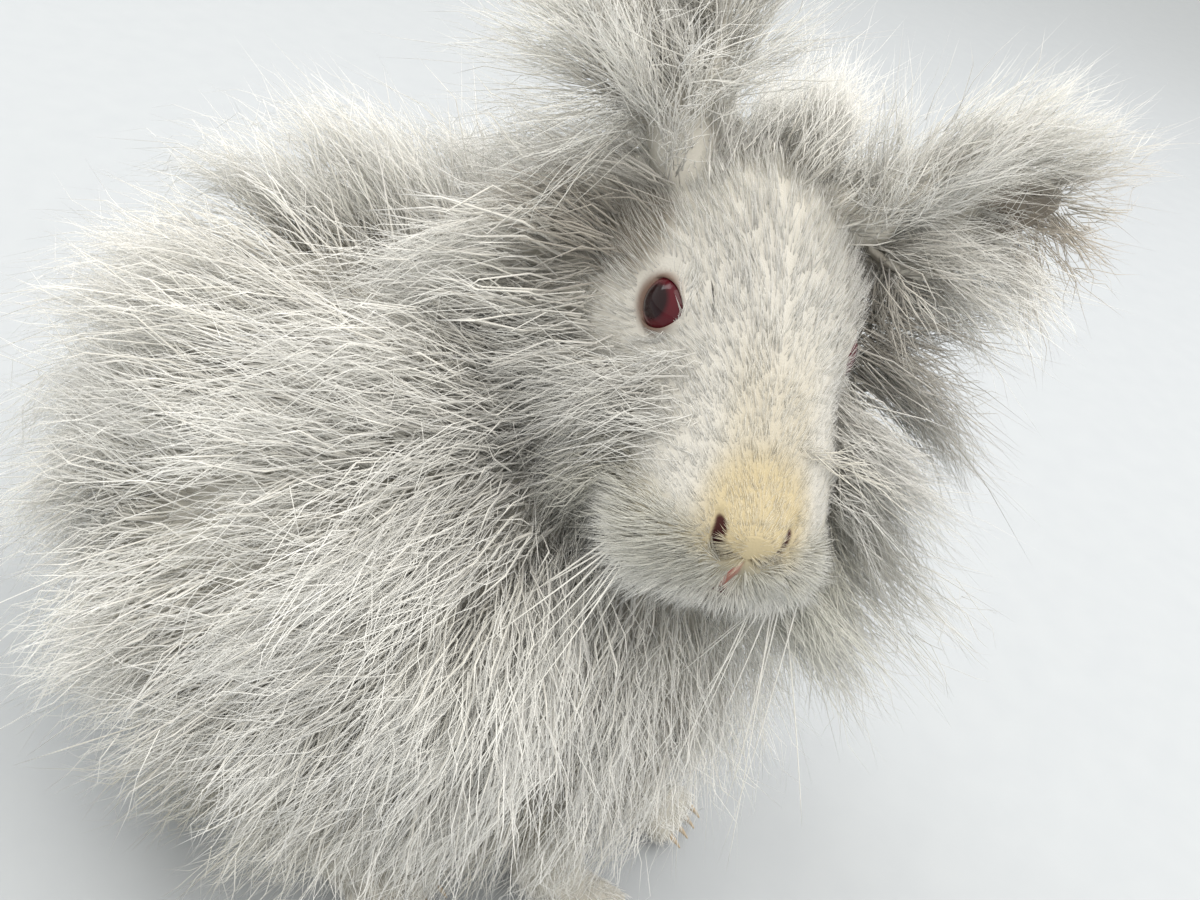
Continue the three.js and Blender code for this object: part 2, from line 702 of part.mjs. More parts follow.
// Wool of the neck, which runs out and back over the shoulders
function neckSolid(random) {
  const lie = ({ x }) => {
    const spread = Math.min(Math.max(x / PARTING_WIDTH, -1), 1);
    const way = new THREE.Vector3(RUFF_LIE[0] * spread, RUFF_LIE[1], RUFF_LIE[2]);
    return way.transformDirection(bodyInHead);
  };
  const taken = (spot) => {
    const { x, y, z } = spot.clone().applyMatrix4(headPlace);
    return below(NAPE_CUT, x, y, z) || below(THROAT_CUT, x, y, z);
  };
  const band = (point) => point.y > 66 && !taken(point);
  const locks = woolSolids(NECK_CORE, RUFF, lie, random, band, taken);
  let neck = joined([ellipsoidSolid(NECK_CORE, 22, 12), ...locks]);
  neck = cutBeyond(neck, opposite(HEAD_CUT), GAP / 2);
  return largest(aboveTorso(neck).subtract(joined([earFoot(1, 6), earFoot(-1, 6)])));
}

// Cheek wool on both sides of the head, in rows from under the jaw up to the ear. The rows fan out from
// one that falls forward to one that lies back; on the side that the head turns away from, all fall forward.
function cheekLocks(random) {
  const locks = [];
  const { rows, perRow, leftLength, rightLength, width, thickness } = CHEEK_WOOL;
  for (const side of [1, -1]) {
    const top = side > 0 ? CHEEK_TOP_LEFT : CHEEK_TOP_RIGHT;
    for (let i = 0; i < rows * perRow; i += 1) {
      const row = i % rows;
      const share = (Math.floor(i / rows) + 0.5 * random()) / (perRow - 0.5);
      const turn = THREE.MathUtils.degToRad(CHEEK_LOW + (top - CHEEK_LOW) * share);
      const outward = new THREE.Vector3(side * Math.cos(turn), 0, Math.sin(turn));
      const { out, depth, rowGap, height, rise, back } = CHEEK_ROOTS;
      const start = new THREE.Vector3(
        side * out * Math.cos(turn),
        depth + rowGap * row + back * Math.max(0, Math.sin(turn)),
        height + rise * Math.sin(turn),
      );
      const fall = side > 0 ? CHEEK_FALL_LEFT : CHEEK_FALL_RIGHT;
      const heading = outward.clone().add(new THREE.Vector3(0, fall + CHEEK_ROW_SWING * row, 0));
      heading.addScaledVector(DOWN_IN_HEAD, 0.2).normalize();
      const forward = new THREE.Vector3(0, -1, 0.1);
      const longest = side > 0 ? leftLength : rightLength;
      const length = longest * (0.85 + 0.3 * random()) * (0.62 + 0.38 * Math.cos(turn));
      locks.push(freeLock(start, heading, forward, length, width, thickness, CHEEK_DROOP));
    }
  }
  return locks;
}

// The coat runs back and down along the body, and straight down at the rump
function bodyLie({ y }) {
  const share = Math.min(Math.max((y - RUMP_START) / RUMP_LENGTH, 0), 1);
  return new THREE.Vector3(...COAT_LIE).lerp(new THREE.Vector3(...RUMP_LIE), share);
}

function chestLie({ x }) {
  const spread = Math.min(Math.max(x / PARTING_WIDTH, -1), 1);
  return new THREE.Vector3(CHEST_LIE[0] * spread, CHEST_LIE[1], CHEST_LIE[2]);
}

const FLOOR_PLANE = { point: [0, 0, FLOOR_CLEARANCE], normal: [0, 0, -1] };
const SOLE_PLANE = { point: [0, 0, 0], normal: [0, 0, -1] };

// The space of the neck and head above the two cuts on top of the torso
function neckSpace() {
  const block = boxSolid([-BIG, -BIG, 0], [BIG, BIG, BIG]);
  const aboveThroat = cutBeyond(block, opposite(THROAT_CUT), -GAP / 2);
  return cutBeyond(aboveThroat, opposite(NAPE_CUT), -GAP / 2);
}

function torsoSolid(random) {
  const spaces = [boxSolid(TAIL_SPACE.low, TAIL_SPACE.high), neckSpace()];
  for (const side of [1, -1]) {
    spaces.push(sideBox(HIND_SPACE, side, 0));
    spaces.push(sideBox(FRONT_SPACE, side, 0));
  }
  const inSpace = ({ low, high }, x, y, z) =>
    x > low[0] && x < high[0] && y > low[1] && y < high[1] && z < high[2];
  const taken = ({ x, y, z }) =>
    z < LOWEST_TIP ||
    inSpace(HIND_SPACE, Math.abs(x), y, z) ||
    inSpace(FRONT_SPACE, Math.abs(x), y, z) ||
    !(below(NAPE_CUT, x, y, z) || below(THROAT_CUT, x, y, z));
  const bodyLocks = woolSolids(
    BODY_CORE,
    BODY_WOOL,
    bodyLie,
    random,
    (point) => point.z > 18 && !inside(CHEST_CORE, point),
    taken,
  );
  const chestLocks = woolSolids(
    CHEST_CORE,
    CHEST_WOOL,
    chestLie,
    random,
    (point) => point.z > 40 && point.z < 144 && !inside(BODY_CORE, point) && point.y < -52,
    taken,
  );
  let torso = joined([
    ellipsoidSolid(BODY_CORE, 26, 16),
    ellipsoidSolid(CHEST_CORE, 20, 12),
    ...bodyLocks,
    ...chestLocks,
  ]);
  torso = cutBeyond(torso, FLOOR_PLANE, 0);
  return largest(torso.subtract(joined(spaces)));
}

// Toes at the front of a foot, each with its claw
function toeSolids(front, heading, count, spread) {
  const solids = [];
  for (let i = 0; i < count; i += 1) {
    const share = count === 1 ? 0 : i / (count - 1) - 0.5;
    const sideways = share * spread;
    const shorter = 1 - 0.25 * Math.abs(share);
    const root = [front[0] + sideways, front[1] + 6, front[2]];
    const tip = [front[0] + sideways * 1.25, front[1] + heading * 5 * shorter, front[2] - 1.5];
    solids.push(barSolid(root, tip, TOE_RADIUS, 1, 6));
    const claw = new THREE.ConeGeometry(CLAW_RADIUS, CLAW_LENGTH, 6);
    claw.rotateX(Math.PI / 2 * heading + 0.28);
    claw.translate(tip[0], tip[1] + heading * (TOE_RADIUS + 1.5), tip[2] - 0.6);
    solids.push(solidOf(claw));
  }
  return solids;
}

function hindLegSolid(side, random) {
  const shank = mirroredForm(SHANK, side);
  const outside = (point) => point.z > 8 && side * point.x > SHANK.centre[0] - 4;
  const lie = () => new THREE.Vector3(...COAT_LIE);
  const wool = woolSolids(shank, SHANK_WOOL, lie, random, outside);
  const foot = [
    barSolid(mirrored(HIND_FOOT.heel, side), mirrored(HIND_FOOT.toe, side), HIND_FOOT.radius, 0.85),
    ...toeSolids(mirrored(HIND_FOOT.toe, side), -1, 4, 16),
  ];
  let upper = joined([ellipsoidSolid(shank, 14, 10), ...wool]);
  upper = cutBeyond(upper, FLOOR_PLANE, 0);
  let leg = joined([upper, ...foot]);
  leg = cutBeyond(leg, SOLE_PLANE, 0);
  return largest(leg.intersect(sideBox(HIND_SPACE, side, -GAP)));
}

function frontLegSolid(side, random) {
  const { elbow, wrist, radius } = FRONT_LEG;
  const foreleg = {
    centre: mirrored(elbow.map((value, i) => (value + wrist[i]) / 2), side),
    radii: [radius, 18, 18],
  };
  const wool = woolSolids(foreleg, FRONT_WOOL, () => new THREE.Vector3(0, -0.3, -0.9), random);
  let upper = joined([barSolid(mirrored(elbow, side), mirrored(wrist, side), radius), ...wool]);
  upper = cutBeyond(upper, FLOOR_PLANE, 0);
  const paw = [
    barSolid(mirrored(FRONT_PAW.back, side), mirrored(FRONT_PAW.toe, side), FRONT_PAW.radius, 0.9),
    ...toeSolids(mirrored(FRONT_PAW.toe, side), -1, 4, 12),
  ];
  let leg = joined([upper, ...paw]);
  leg = cutBeyond(leg, SOLE_PLANE, 0);
  return largest(leg.intersect(sideBox(FRONT_SPACE, side, -GAP)));
}

function tailSolid(random) {
  const wool = woolSolids(TAIL_CORE, TAIL_WOOL, () => new THREE.Vector3(0, 0.5, 0.5), random);
  const tail = joined([ellipsoidSolid(TAIL_CORE, 14, 10), ...wool]);
  const low = TAIL_SPACE.low.map((value) => value + GAP);
  const high = TAIL_SPACE.high.map((value) => value - GAP);
  return largest(tail.intersect(boxSolid(low, high)));
}

// The surface with points that round to the same place made one, less the faces that this closes up:
// those that lose a side, and pairs that end up back to back
function rounded(solid) {
  const { vertProperties, triVerts } = solid.getMesh();
  const ids = new Map();
  const points = [];
  const idOf = (corner) => {
    const point = [0, 1, 2].map((k) => Math.round(vertProperties[3 * corner + k] * ROUNDING) / ROUNDING);
    const key = point.join();
    if (!ids.has(key)) {
      ids.set(key, ids.size);
      points.push(...point);
    }
    return ids.get(key);
  };
  const faces = [];
  const waiting = new Map();
  for (let i = 0; i < triVerts.length; i += 3) {
    const face = [0, 1, 2].map((k) => idOf(triVerts[i + k]));
    if (new Set(face).size < 3) {
      continue;
    }
    const first = face.indexOf(Math.min(...face));
    const [a, b, c] = [0, 1, 2].map((k) => face[(first + k) % 3]);
    const back = waiting.get([a, c, b].join());
    if (back?.length) {
      faces[back.pop()] = null;
    } else {
      const key = [a, b, c].join();
      waiting.set(key, [...(waiting.get(key) ?? []), faces.length]);
      faces.push([a, b, c]);
    }
  }
  return { points, faces: faces.filter((face) => face) };
}

function settled(solid) {
  let result = solid;
  for (let round = 0; round < 2; round += 1) {
    const { points, faces } = rounded(result);
    const mesh = new wasm.Mesh({
      numProp: 3,
      vertProperties: new Float32Array(points),
      triVerts: new Uint32Array(faces.flat()),
    });
    result = largest(new wasm.Manifold(mesh));
  }
  return result;
}

// Whether every edge is shared by just two faces once its ends are rounded
function edgesMeetInPairs(solid) {
  const uses = new Map();
  for (const [a, b, c] of rounded(solid).faces) {
    for (const [from, to] of [[a, b], [b, c], [c, a]]) {
      const key = `${Math.min(from, to)} ${Math.max(from, to)}`;
      uses.set(key, (uses.get(key) ?? 0) + 1);
    }
  }
  return [...uses.values()].every((count) => count === 2);
}

// The first in a run of seeds whose locks don't just touch along an edge
function cleanly(make, seed) {
  for (let tries = 0; tries < SEED_TRIES; tries += 1) {
    const solid = settled(make(randomFrom(seed + 100 * tries)));
    if (edgesMeetInPairs(solid)) {
      return solid;
    }
  }
  throw new Error("no seed gives a clean surface");
}

// Every node in the body's frame, as what makes it, its seed and its colour
const placed = (solid) => solid.transform(headPlace.elements);
const nodes = [
  { name: "torso", make: torsoSolid, seed: 23, colour: COAT },
  { name: "tail", make: tailSolid, seed: 31, colour: COAT },
  { name: "head", make: (random) => placed(headSolid(random)), seed: 5, colour: FACE },
  { name: "neck", make: (random) => placed(neckSolid(random)), seed: 11, colour: COAT },
];
for (const [word, side] of Object.entries({ left: 1, right: -1 })) {
  const eye = () => placed(eyeBall(side, EYE_RADIUS));
  const ear = (random) => placed(earSolid(side, random));
  const frontLeg = (random) => frontLegSolid(side, random);
  const hindLeg = (random) => hindLegSolid(side, random);
  nodes.push({ name: `eye_${word}`, make: eye, seed: 1, colour: EYE, roughness: 0.08 });
  nodes.push({ name: `ear_${word}`, make: ear, seed: 41 + side, colour: EAR });
  nodes.push({ name: `front_leg_${word}`, make: frontLeg, seed: 51 + side, colour: PAW });
  nodes.push({ name: `hind_leg_${word}`, make: hindLeg, seed: 61 + side, colour: COAT_LOW });
}

const rabbit = new THREE.Group();
const reach = new THREE.Box3();
const made = nodes.map((node) => {
  const solid = cleanly(node.make, node.seed);
  const { min, max } = solid.boundingBox();
  reach.expandByPoint(new THREE.Vector3(...min));
  reach.expandByPoint(new THREE.Vector3(...max));
  return { ...node, solid };
});

// The origin is the middle of the whole rabbit's box, on the floor, to an eighth of a millimetre
const middle = reach.getCenter(new THREE.Vector3()).multiplyScalar(8).round().divideScalar(8);
for (const { name, solid, colour, roughness = 0.95 } of made) {
  const material = new THREE.MeshStandardMaterial({ color: colour, roughness, metalness: 0 });
  const mesh = new THREE.Mesh(geometryOf(solid.translate([-middle.x, -middle.y, 0])), material);
  mesh.name = name;
  rabbit.add(mesh);
}

export default rabbit;
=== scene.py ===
"""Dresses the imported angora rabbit: one skin, eyes, claws, wool and short fur in solid strands, whiskers,
and the stage. Lengths are millimetres in the body's frame of the part's source (front -Y, up +Z) until
metres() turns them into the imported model's metres."""

import math

import bpy
import numpy as np
from mathutils import Matrix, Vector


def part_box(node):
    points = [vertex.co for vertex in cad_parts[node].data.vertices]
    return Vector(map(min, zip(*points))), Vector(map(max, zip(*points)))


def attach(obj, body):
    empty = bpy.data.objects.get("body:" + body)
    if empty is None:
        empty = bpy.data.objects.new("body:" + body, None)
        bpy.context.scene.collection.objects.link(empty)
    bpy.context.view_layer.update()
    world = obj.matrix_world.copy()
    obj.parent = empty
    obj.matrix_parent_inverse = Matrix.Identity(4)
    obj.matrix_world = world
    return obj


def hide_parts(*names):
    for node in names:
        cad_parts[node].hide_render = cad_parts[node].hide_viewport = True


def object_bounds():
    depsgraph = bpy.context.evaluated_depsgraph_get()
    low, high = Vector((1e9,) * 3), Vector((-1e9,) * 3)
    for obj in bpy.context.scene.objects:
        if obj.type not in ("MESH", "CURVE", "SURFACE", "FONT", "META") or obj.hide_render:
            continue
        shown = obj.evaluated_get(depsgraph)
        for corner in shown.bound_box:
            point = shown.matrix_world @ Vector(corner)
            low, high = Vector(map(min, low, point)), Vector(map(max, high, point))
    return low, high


bl_info = {
    "name": "Angora rabbit",
    "version": (1, 0, 0),
    "blender": (4, 5, 0),
    "location": "View3D > Sidebar > Rabbit",
    "description": "Builds the skin, wool, eyes, claws and whiskers of a life-size angora rabbit",
    "category": "Object",
}

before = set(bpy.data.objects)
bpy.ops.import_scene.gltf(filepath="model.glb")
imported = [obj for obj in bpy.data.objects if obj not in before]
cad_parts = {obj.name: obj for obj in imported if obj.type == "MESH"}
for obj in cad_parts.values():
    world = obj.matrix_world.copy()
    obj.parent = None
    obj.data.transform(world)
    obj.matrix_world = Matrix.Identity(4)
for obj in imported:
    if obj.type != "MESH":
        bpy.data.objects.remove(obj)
CAD_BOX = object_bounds()

# The head's turn to its right, its lift and its lean, in degrees, and the place of the nose tip
HEAD_TURN = 52.0
HEAD_LIFT = 1.0
HEAD_LEAN = 7.0
NOSE_TIP = (-53.0, -95.0, 171.0)

# Head sections: distance behind the nose tip, half the width, top, bottom
HEAD_SECTIONS = np.array([
    [-1.5, 5, 5.5, -5.5],
    [1.5, 13, 10, -12],
    [7, 19.5, 15.5, -17],
    [15, 23, 24, -20.5],
    [27, 24.5, 36, -22],
    [40, 26.5, 46, -21.5],
    [53, 30.5, 53, -20],
    [66, 33, 57, -16],
    [82, 31, 57, -9],
    [98, 25, 47, 2],
])

# How square the sections are, 2 being an ellipse, and how far the skin lies under the face's outline
HEAD_SQUARENESS = 2.15
SHORT_FUR = 1.8

# Swellings and hollows of the face, on both sides: place, radius, rise
HEAD_FORMS = (
    ((14, 9, -8), 11, 3.4),
    ((4, 0.5, 4), 6, 1.6),
    ((6, 4, -12), 5, 1.2),
    ((29, 58, 2), 20, 3.0),
    ((0, 12, -20), 8, 1.5),
    ((22, 28, 24), 9, -1.6),
    ((22, 43, 33), 13, 1.8),
    ((24, 40, 28), 8, -1.9),
)

# Creases of the face's left half, each by the corners of a smooth curve
NOSTRIL = ((0, -1.5, -2.5), (4.6, -0.2, -0.9), (7.0, 1.6, 2.2), (7.4, 3.2, 5.4))
PHILTRUM = ((0, -1.5, -2.5), (0, 0.4, -7), (0, 3, -11))
MOUTH = ((0, 3.6, -11.5), (7, 8, -13.5), (12, 19, -12.5))

# The creases are cut towards this point
MUZZLE_MIDDLE = (0, 26, -3)

# Eye, in the head's frame: centre, the way it looks, radius, rise of its clear front, the opening's width and
# height, and the opening's tilt in degrees
EYE_CENTRE = (16.4, 42.0, 27.5)
EYE_WAY = (0.94, -0.28, 0.16)
EYE_RADIUS = 8.2
EYE_BULGE = 0.45
EYE_OPENING = (13.4, 10.4)
EYE_TILT = -18.0

# Ears, in the head's frame: foot, the way each points, length, where the cup starts, half the width, wall,
# and the stem's radius, its place before the foot and its depth in the head
EAR_FOOT = (15.5, 74.0, 47.0)
EAR_RIGHT_WAY = (-0.4, 0.42, 0.82)
EAR_LEFT_WAY = (0.86, 0.02, 0.33)
EAR_LENGTH = 60.0
EAR_CUP_START = 10.0
EAR_HALF_WIDTH = 15.0
EAR_WALL = 1.8
EAR_FOOT_RADIUS = 7.6
EAR_FOOT_FORWARD = 6.0
EAR_SINK = 7.0

# Cores under the wool: centre and radii, the neck's in the head's frame
BODY_CORE = ((0, 4, 91), (82, 86, 74))
CHEST_CORE = ((2, -50, 94), (54, 44, 54))
NECK_CORE = ((0, 82, 4), (43, 38, 44))
TAIL_CORE = ((0, 98, 52), (12, 17, 17))
SHANK = ((54, 14, 16), (15, 28, 11))

# Limbs: start, end and radius, their height over their width, and the height at which the soles are flat
HIND_FOOT = ((52, 34, 10), (56, -42, 8), 9.5)
FORELEG = ((22, -66, 34), (23, -76, 12), 9.5)
FRONT_PAW = ((23, -70, 8), (24, -90, 7), 7.8)
LIMB_FLATNESS = 0.85
FLOOR_GAP = 0.6

# Toes to a foot, their radius, the claws' length and radius, and how wide the toes spread from the front of
# each foot
TOES = 4
TOE_RADIUS = 4.0
CLAW_LENGTH = 8.0
CLAW_RADIUS = 1.3
TOE_SPREAD = {HIND_FOOT[1]: 16, FRONT_PAW[1]: 12}

# Sides of the body, and the rings of a limb's round end
SIDES = (("left", 1), ("right", -1))
CAP_RINGS = 4

# Islands of the skin's unwrap: low corner and size
ISLANDS = {
    "head": (0.01, 0.51, 0.48, 0.48),
    "body": (0.51, 0.51, 0.48, 0.48),
    "chest": (0.01, 0.26, 0.23, 0.23),
    "neck": (0.26, 0.26, 0.23, 0.23),
    "ear_left": (0.51, 0.26, 0.23, 0.23),
    "ear_right": (0.76, 0.26, 0.23, 0.23),
    "tail": (0.01, 0.13, 0.11, 0.11),
    "lid_left": (0.13, 0.13, 0.05, 0.11),
    "lid_right": (0.19, 0.13, 0.05, 0.11),
    "shank_left": (0.26, 0.13, 0.11, 0.11),
    "shank_right": (0.38, 0.13, 0.11, 0.11),
    "hind_left": (0.51, 0.13, 0.11, 0.11),
    "hind_right": (0.63, 0.13, 0.11, 0.11),
    "fore_left": (0.76, 0.13, 0.11, 0.11),
    "fore_right": (0.88, 0.13, 0.11, 0.11),
    "paw_left": (0.01, 0.01, 0.11, 0.11),
    "paw_right": (0.13, 0.01, 0.11, 0.11),
    "toes": (0.26, 0.01, 0.7, 0.11),
}

# The side of one tuft's patch in the unwrap
TUFT_PATCH = 0.003

# Hairs: points along a tuft, a tuft's hair and a short hair, thickness over width, width near the tip over
# that at the root, under-wool hairs in a tuft and their width over the tuft's, the share of hairs that stray
# far, and how far the coat may stand past the solids' box
TUFT_STEPS = 8
HAIR_STEPS = 4
SHORT_STEPS = 3
HAIR_FLATNESS = 0.45
THINNING = 0.6
UNDER_HAIRS = 4
UNDER_WIDTH = 0.12
FLYAWAY = 0.2
FUR_REACH = 13.0

# Where the wool of chest and flank parts, on each side
SHOULDER = (48, -34, 136)
SHOULDER_RADIUS = 22

# How many tufts, fine hairs to a tuft, single hairs, and hairs that lead the others
BODY_TUFTS = 2900
BODY_HAIRS = 10
RUFF_TUFTS = 480
TAIL_TUFTS = 170
RUFF_HAIRS = 11
CHEEK_TUFTS = 1000
CHEEK_HAIRS = 12
EAR_TUFTS = 400
EAR_HAIRS = 10
FACE_HAIRS = 17000
FACE_LEADERS = 900
LEG_HAIRS = 2200
TOE_HAIRS = 1500
LIMB_LEADERS = 400
WHISKERS = 12

# The stage, in metres but for the point that the lamps aim at: half the floor's side, and each lamp's name,
# place, width, watts and colour
FLOOR_REACH = 3.0
LAMP_AIM = (0, -20, 110)
LAMPS = (
    ("key", (-0.25, -0.35, 1.5), 1.4, 15.0, "#fffaf2"),
    ("fill", (0.9, -0.8, 0.8), 1.0, 5.0, "#fbfaff"),
    ("rim", (0.2, 1.1, 1.2), 0.8, 8.0, "#ffffff"),
)

# The camera's place in the body's frame, and its right, up and back
CAMERA_PLACE = (-242.76, -125.31, 314.2)
CAMERA_AXES = ((0.47551, -0.84276, 0.2523), (0.40924, 0.46579, 0.78458), (-0.77873, -0.26982, 0.56638))


def linear(hex_colour):
    """An sRGB hex string as linear red, green, blue and alpha."""
    values = np.array([int(hex_colour[i:i + 2], 16) for i in (1, 3, 5)]) / 255
    low = values / 12.92
    high = ((values + 0.055) / 1.055) ** 2.4
    return (*np.where(values <= 0.04045, low, high), 1.0)


def tone(hex_colour):
    """The same as an array of three linear numbers."""
    return np.array(linear(hex_colour)[:3])


def turn(axis, degrees):
    """A 3 by 3 turn about one axis."""
    c, s = math.cos(math.radians(degrees)), math.sin(math.radians(degrees))
    i, j = {"X": (1, 2), "Y": (2, 0), "Z": (0, 1)}[axis]
    matrix = np.eye(3)
    matrix[i, i] = matrix[j, j] = c
    matrix[i, j], matrix[j, i] = -s, s
    return matrix


HEAD_AXES = turn("Z", -HEAD_TURN) @ turn("X", -HEAD_LIFT) @ turn("Y", HEAD_LEAN)


def head_to_body(points):
    """From the head's frame, with the nose tip at zero and the nape at +Y, to the body's."""
    return np.asarray(points, float) @ HEAD_AXES.T + np.array(NOSE_TIP)


def body_to_head(points):
    """The same turned round."""
    return (np.asarray(points, float) - np.array(NOSE_TIP)) @ HEAD_AXES


def together(*parts):
    """Numbers and arrays side by side along a new last axis, as the parts of vectors."""
    return np.stack(np.broadcast_arrays(*parts), -1)


def unit(vectors):
    """The same vectors with length 1."""
    return vectors / np.maximum(np.linalg.norm(vectors, axis=-1, keepdims=True), 1e-9)


def smooth(low, high, values):
    """0 below low, 1 above high, and an S between them. low may be the greater."""
    t = np.clip((values - low) / (high - low), 0, 1)
    return t * t * (3 - 2 * t)


def blend(a, b, share):
    """From a to b, which are tones or directions, by a share for each."""
    share = np.asarray(share, float)[..., None]
    return a * (1 - share) + b * share


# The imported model's origin in the body's frame, found from the left eye, which both have
LEFT_EYE = head_to_body(EYE_CENTRE)
ORIGIN = LEFT_EYE - 1000 * np.mean(np.array(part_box("eye_left"), float), axis=0)
SOLID_LOW, SOLID_HIGH = 1000 * np.array(CAD_BOX, float) + ORIGIN


def metres(points):
    """Points of the body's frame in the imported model's metres."""
    return (np.asarray(points, float) - ORIGIN) * 0.001


# Meshes


def paint(mesh, colours):
    """Gives every point its tone, which the materials read."""
    full = np.concatenate([colours, np.ones((len(colours), 1))], axis=1).astype(np.float32)
    mesh.attributes.new("Tone", "FLOAT_COLOR", "POINT").data.foreach_set("color", full.ravel())


def make_object(name, points, groups, uv_groups=None, colours=None):
    """An object from points in millimetres and groups of faces with the same number of corners."""
    mesh = bpy.data.meshes.new(name)
    mesh.vertices.add(len(points))
    mesh.vertices.foreach_set("co", metres(points).astype(np.float32).ravel())
    sizes = np.concatenate([np.full(len(group), group.shape[1]) for group in groups])
    corners = np.concatenate([group.ravel() for group in groups]).astype(np.int32)
    mesh.loops.add(len(corners))
    mesh.loops.foreach_set("vertex_index", corners)
    mesh.polygons.add(len(sizes))
    starts = np.concatenate([[0], np.cumsum(sizes)[:-1]]).astype(np.int32)
    mesh.polygons.foreach_set("loop_start", starts)
    mesh.polygons.foreach_set("use_smooth", np.ones(len(sizes), bool))
    if uv_groups is not None:
        flat = np.concatenate([group.reshape(-1, 2) for group in uv_groups]).astype(np.float32)
        mesh.uv_layers.new(name="OFBake").uv.foreach_set("vector", flat.ravel())
    if colours is not None:
        paint(mesh, colours)
    mesh.update(calc_edges=True)
    thing = bpy.data.objects.new(name, mesh)
    bpy.context.scene.collection.objects.link(thing)
    return thing


def dress(thing, material):
    """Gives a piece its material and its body."""
    thing.data.materials.append(material)
    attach(thing, "root")


def read(items, field, wide, kind=np.float32):
    """One field of a mesh's items as an array with wide numbers to a row."""
    values = np.empty(len(items) * wide, kind)
    items.foreach_get(field, values)
    return values.reshape(-1, wide)


def mesh_points(mesh):
    """A mesh's points in millimetres of the body's frame."""
    return read(mesh.vertices, "co", 3).astype(float) * 1000 + ORIGIN


def facing_out(points, groups, uvs):
    """Faces and their unwrap, turned over if they face inwards. Six times the volume inside is the sum, over
    the triangles of each face, of one corner times the cross product of the other two."""
    volume = 0.0
    for corners in (points[group] for group in groups):
        for k in range(1, corners.shape[1] - 1):
            volume += np.einsum("ij,ij->", corners[:, 0], np.cross(corners[:, k], corners[:, k + 1]))
    way = 1 if volume >= 0 else -1
    return [group[:, ::way] for group in groups], [group[:, ::way] for group in uvs]


def closed_grid(points, first, last, island):
    """Points, faces and unwrap of rings of points, rows by columns, closed round and ended by two poles.
    Row and column give the place in the island: across for the column, up for the row."""
    rows, columns = points.shape[:2]
    index = np.arange(rows * columns).reshape(rows, columns)
    onward = np.roll(index, -1, axis=1)
    quads = together(index[:-1], onward[:-1], onward[1:], index[1:]).reshape(-1, 4)
    pole = rows * columns
    fans = np.concatenate([together(onward[0], index[0], pole), together(index[-1], onward[-1], pole + 1)])
    u0, v0, wide, tall = island
    u = u0 + wide * np.arange(columns + 1) / columns
    v = v0 + tall * (np.arange(rows) + 1) / (rows + 1)
    row, column = (part.ravel() for part in np.indices((rows - 1, columns)))
    quad_uv = [together(u[column + i], v[row + j]) for i, j in ((0, 0), (1, 0), (1, 1), (0, 1))]
    left, right = u[:-1], u[1:]
    middle = (left + right) / 2
    low_uv = [together(right, v[0]), together(left, v[0]), together(middle, v0)]
    high_uv = [together(left, v[-1]), together(right, v[-1]), together(middle, v0 + tall)]
    fan_uv = np.concatenate([np.stack(low_uv, axis=1), np.stack(high_uv, axis=1)])
    everything = np.concatenate([points.reshape(-1, 3), [first], [last]])
    return (everything, *facing_out(everything, [quads, fans], [np.stack(quad_uv, axis=1), fan_uv]))


def ellipsoid(form, rows, columns, side=1):
    """Rings from the low pole to the high one: a sphere's latitude and longitude, stretched."""
    centre, radii = np.array(form[0], float) * [side, 1, 1], np.array(form[1], float)
    latitude = np.linspace(-math.pi / 2, math.pi / 2, rows + 2)[1:-1, None]
    longitude = np.linspace(0, 2 * math.pi, columns, endpoint=False)[None, :]
    ring = together(
        np.cos(latitude) * np.cos(longitude), np.cos(latitude) * np.sin(longitude), np.sin(latitude))
    pole = np.array([0, 0, radii[2]])
    return centre + ring * radii, centre - pole, centre + pole


def tube(path, radii, columns, flatness=1.0):
    """A round section carried along a path, with rounded ends: each ring stands across the path,
    and the ends' rings shrink as the cosine of an angle that runs to a right angle."""
    path, radii = np.asarray(path, float), np.asarray(radii, float)
    ahead = unit(np.gradient(path, axis=0))
    caps = np.linspace(0, math.pi / 2, CAP_RINGS + 2)[1:-1]
    front = path[0] - ahead[0] * (radii[0] * np.sin(caps[::-1]))[:, None]
    back = path[-1] + ahead[-1] * (radii[-1] * np.sin(caps))[:, None]
    centres = np.concatenate([front, path, back])[:, None]
    sizes = np.concatenate([radii[0] * np.cos(caps[::-1]), radii, radii[-1] * np.cos(caps)])[:, None, None]
    onward = np.concatenate([np.repeat(ahead[:1], CAP_RINGS, 0), ahead, np.repeat(ahead[-1:], CAP_RINGS, 0)])
    across = unit(np.cross(onward, [0, 0, 1]))
    above = np.cross(across, onward)
    angle = np.linspace(0, 2 * math.pi, columns, endpoint=False)[None, :, None]
    rings = centres + sizes * (across[:, None] * np.cos(angle) + flatness * above[:, None] * np.sin(angle))
    return rings, path[0] - ahead[0] * radii[0], path[-1] + ahead[-1] * radii[-1]


# The skin


def section_at(place):
    """The head's half width, top and bottom at places behind the nose, by cubic curves through the rows."""
    rows = HEAD_SECTIONS
    i = np.clip(np.searchsorted(rows[:, 0], place, side="left") - 1, 0, len(rows) - 2)
    before, start = rows[np.maximum(i - 1, 0)], rows[i]
    end, after = rows[i + 1], rows[np.minimum(i + 2, len(rows) - 1)]
    span = (end[:, 0] - start[:, 0])[:, None]
    t = np.clip((place - start[:, 0])[:, None] / span, 0, 1)
    slope_in = span * (end - before) / np.maximum(end[:, :1] - before[:, :1], 1e-6)
    slope_out = span * (after - start) / np.maximum(after[:, :1] - start[:, :1], 1e-6)
    value = start * (2 * t**3 - 3 * t**2 + 1) + slope_in * (t**3 - 2 * t**2 + t)
    value += end * (3 * t**2 - 2 * t**3) + slope_out * (t**3 - t**2)
    return value[:, 1], value[:, 2], value[:, 3]


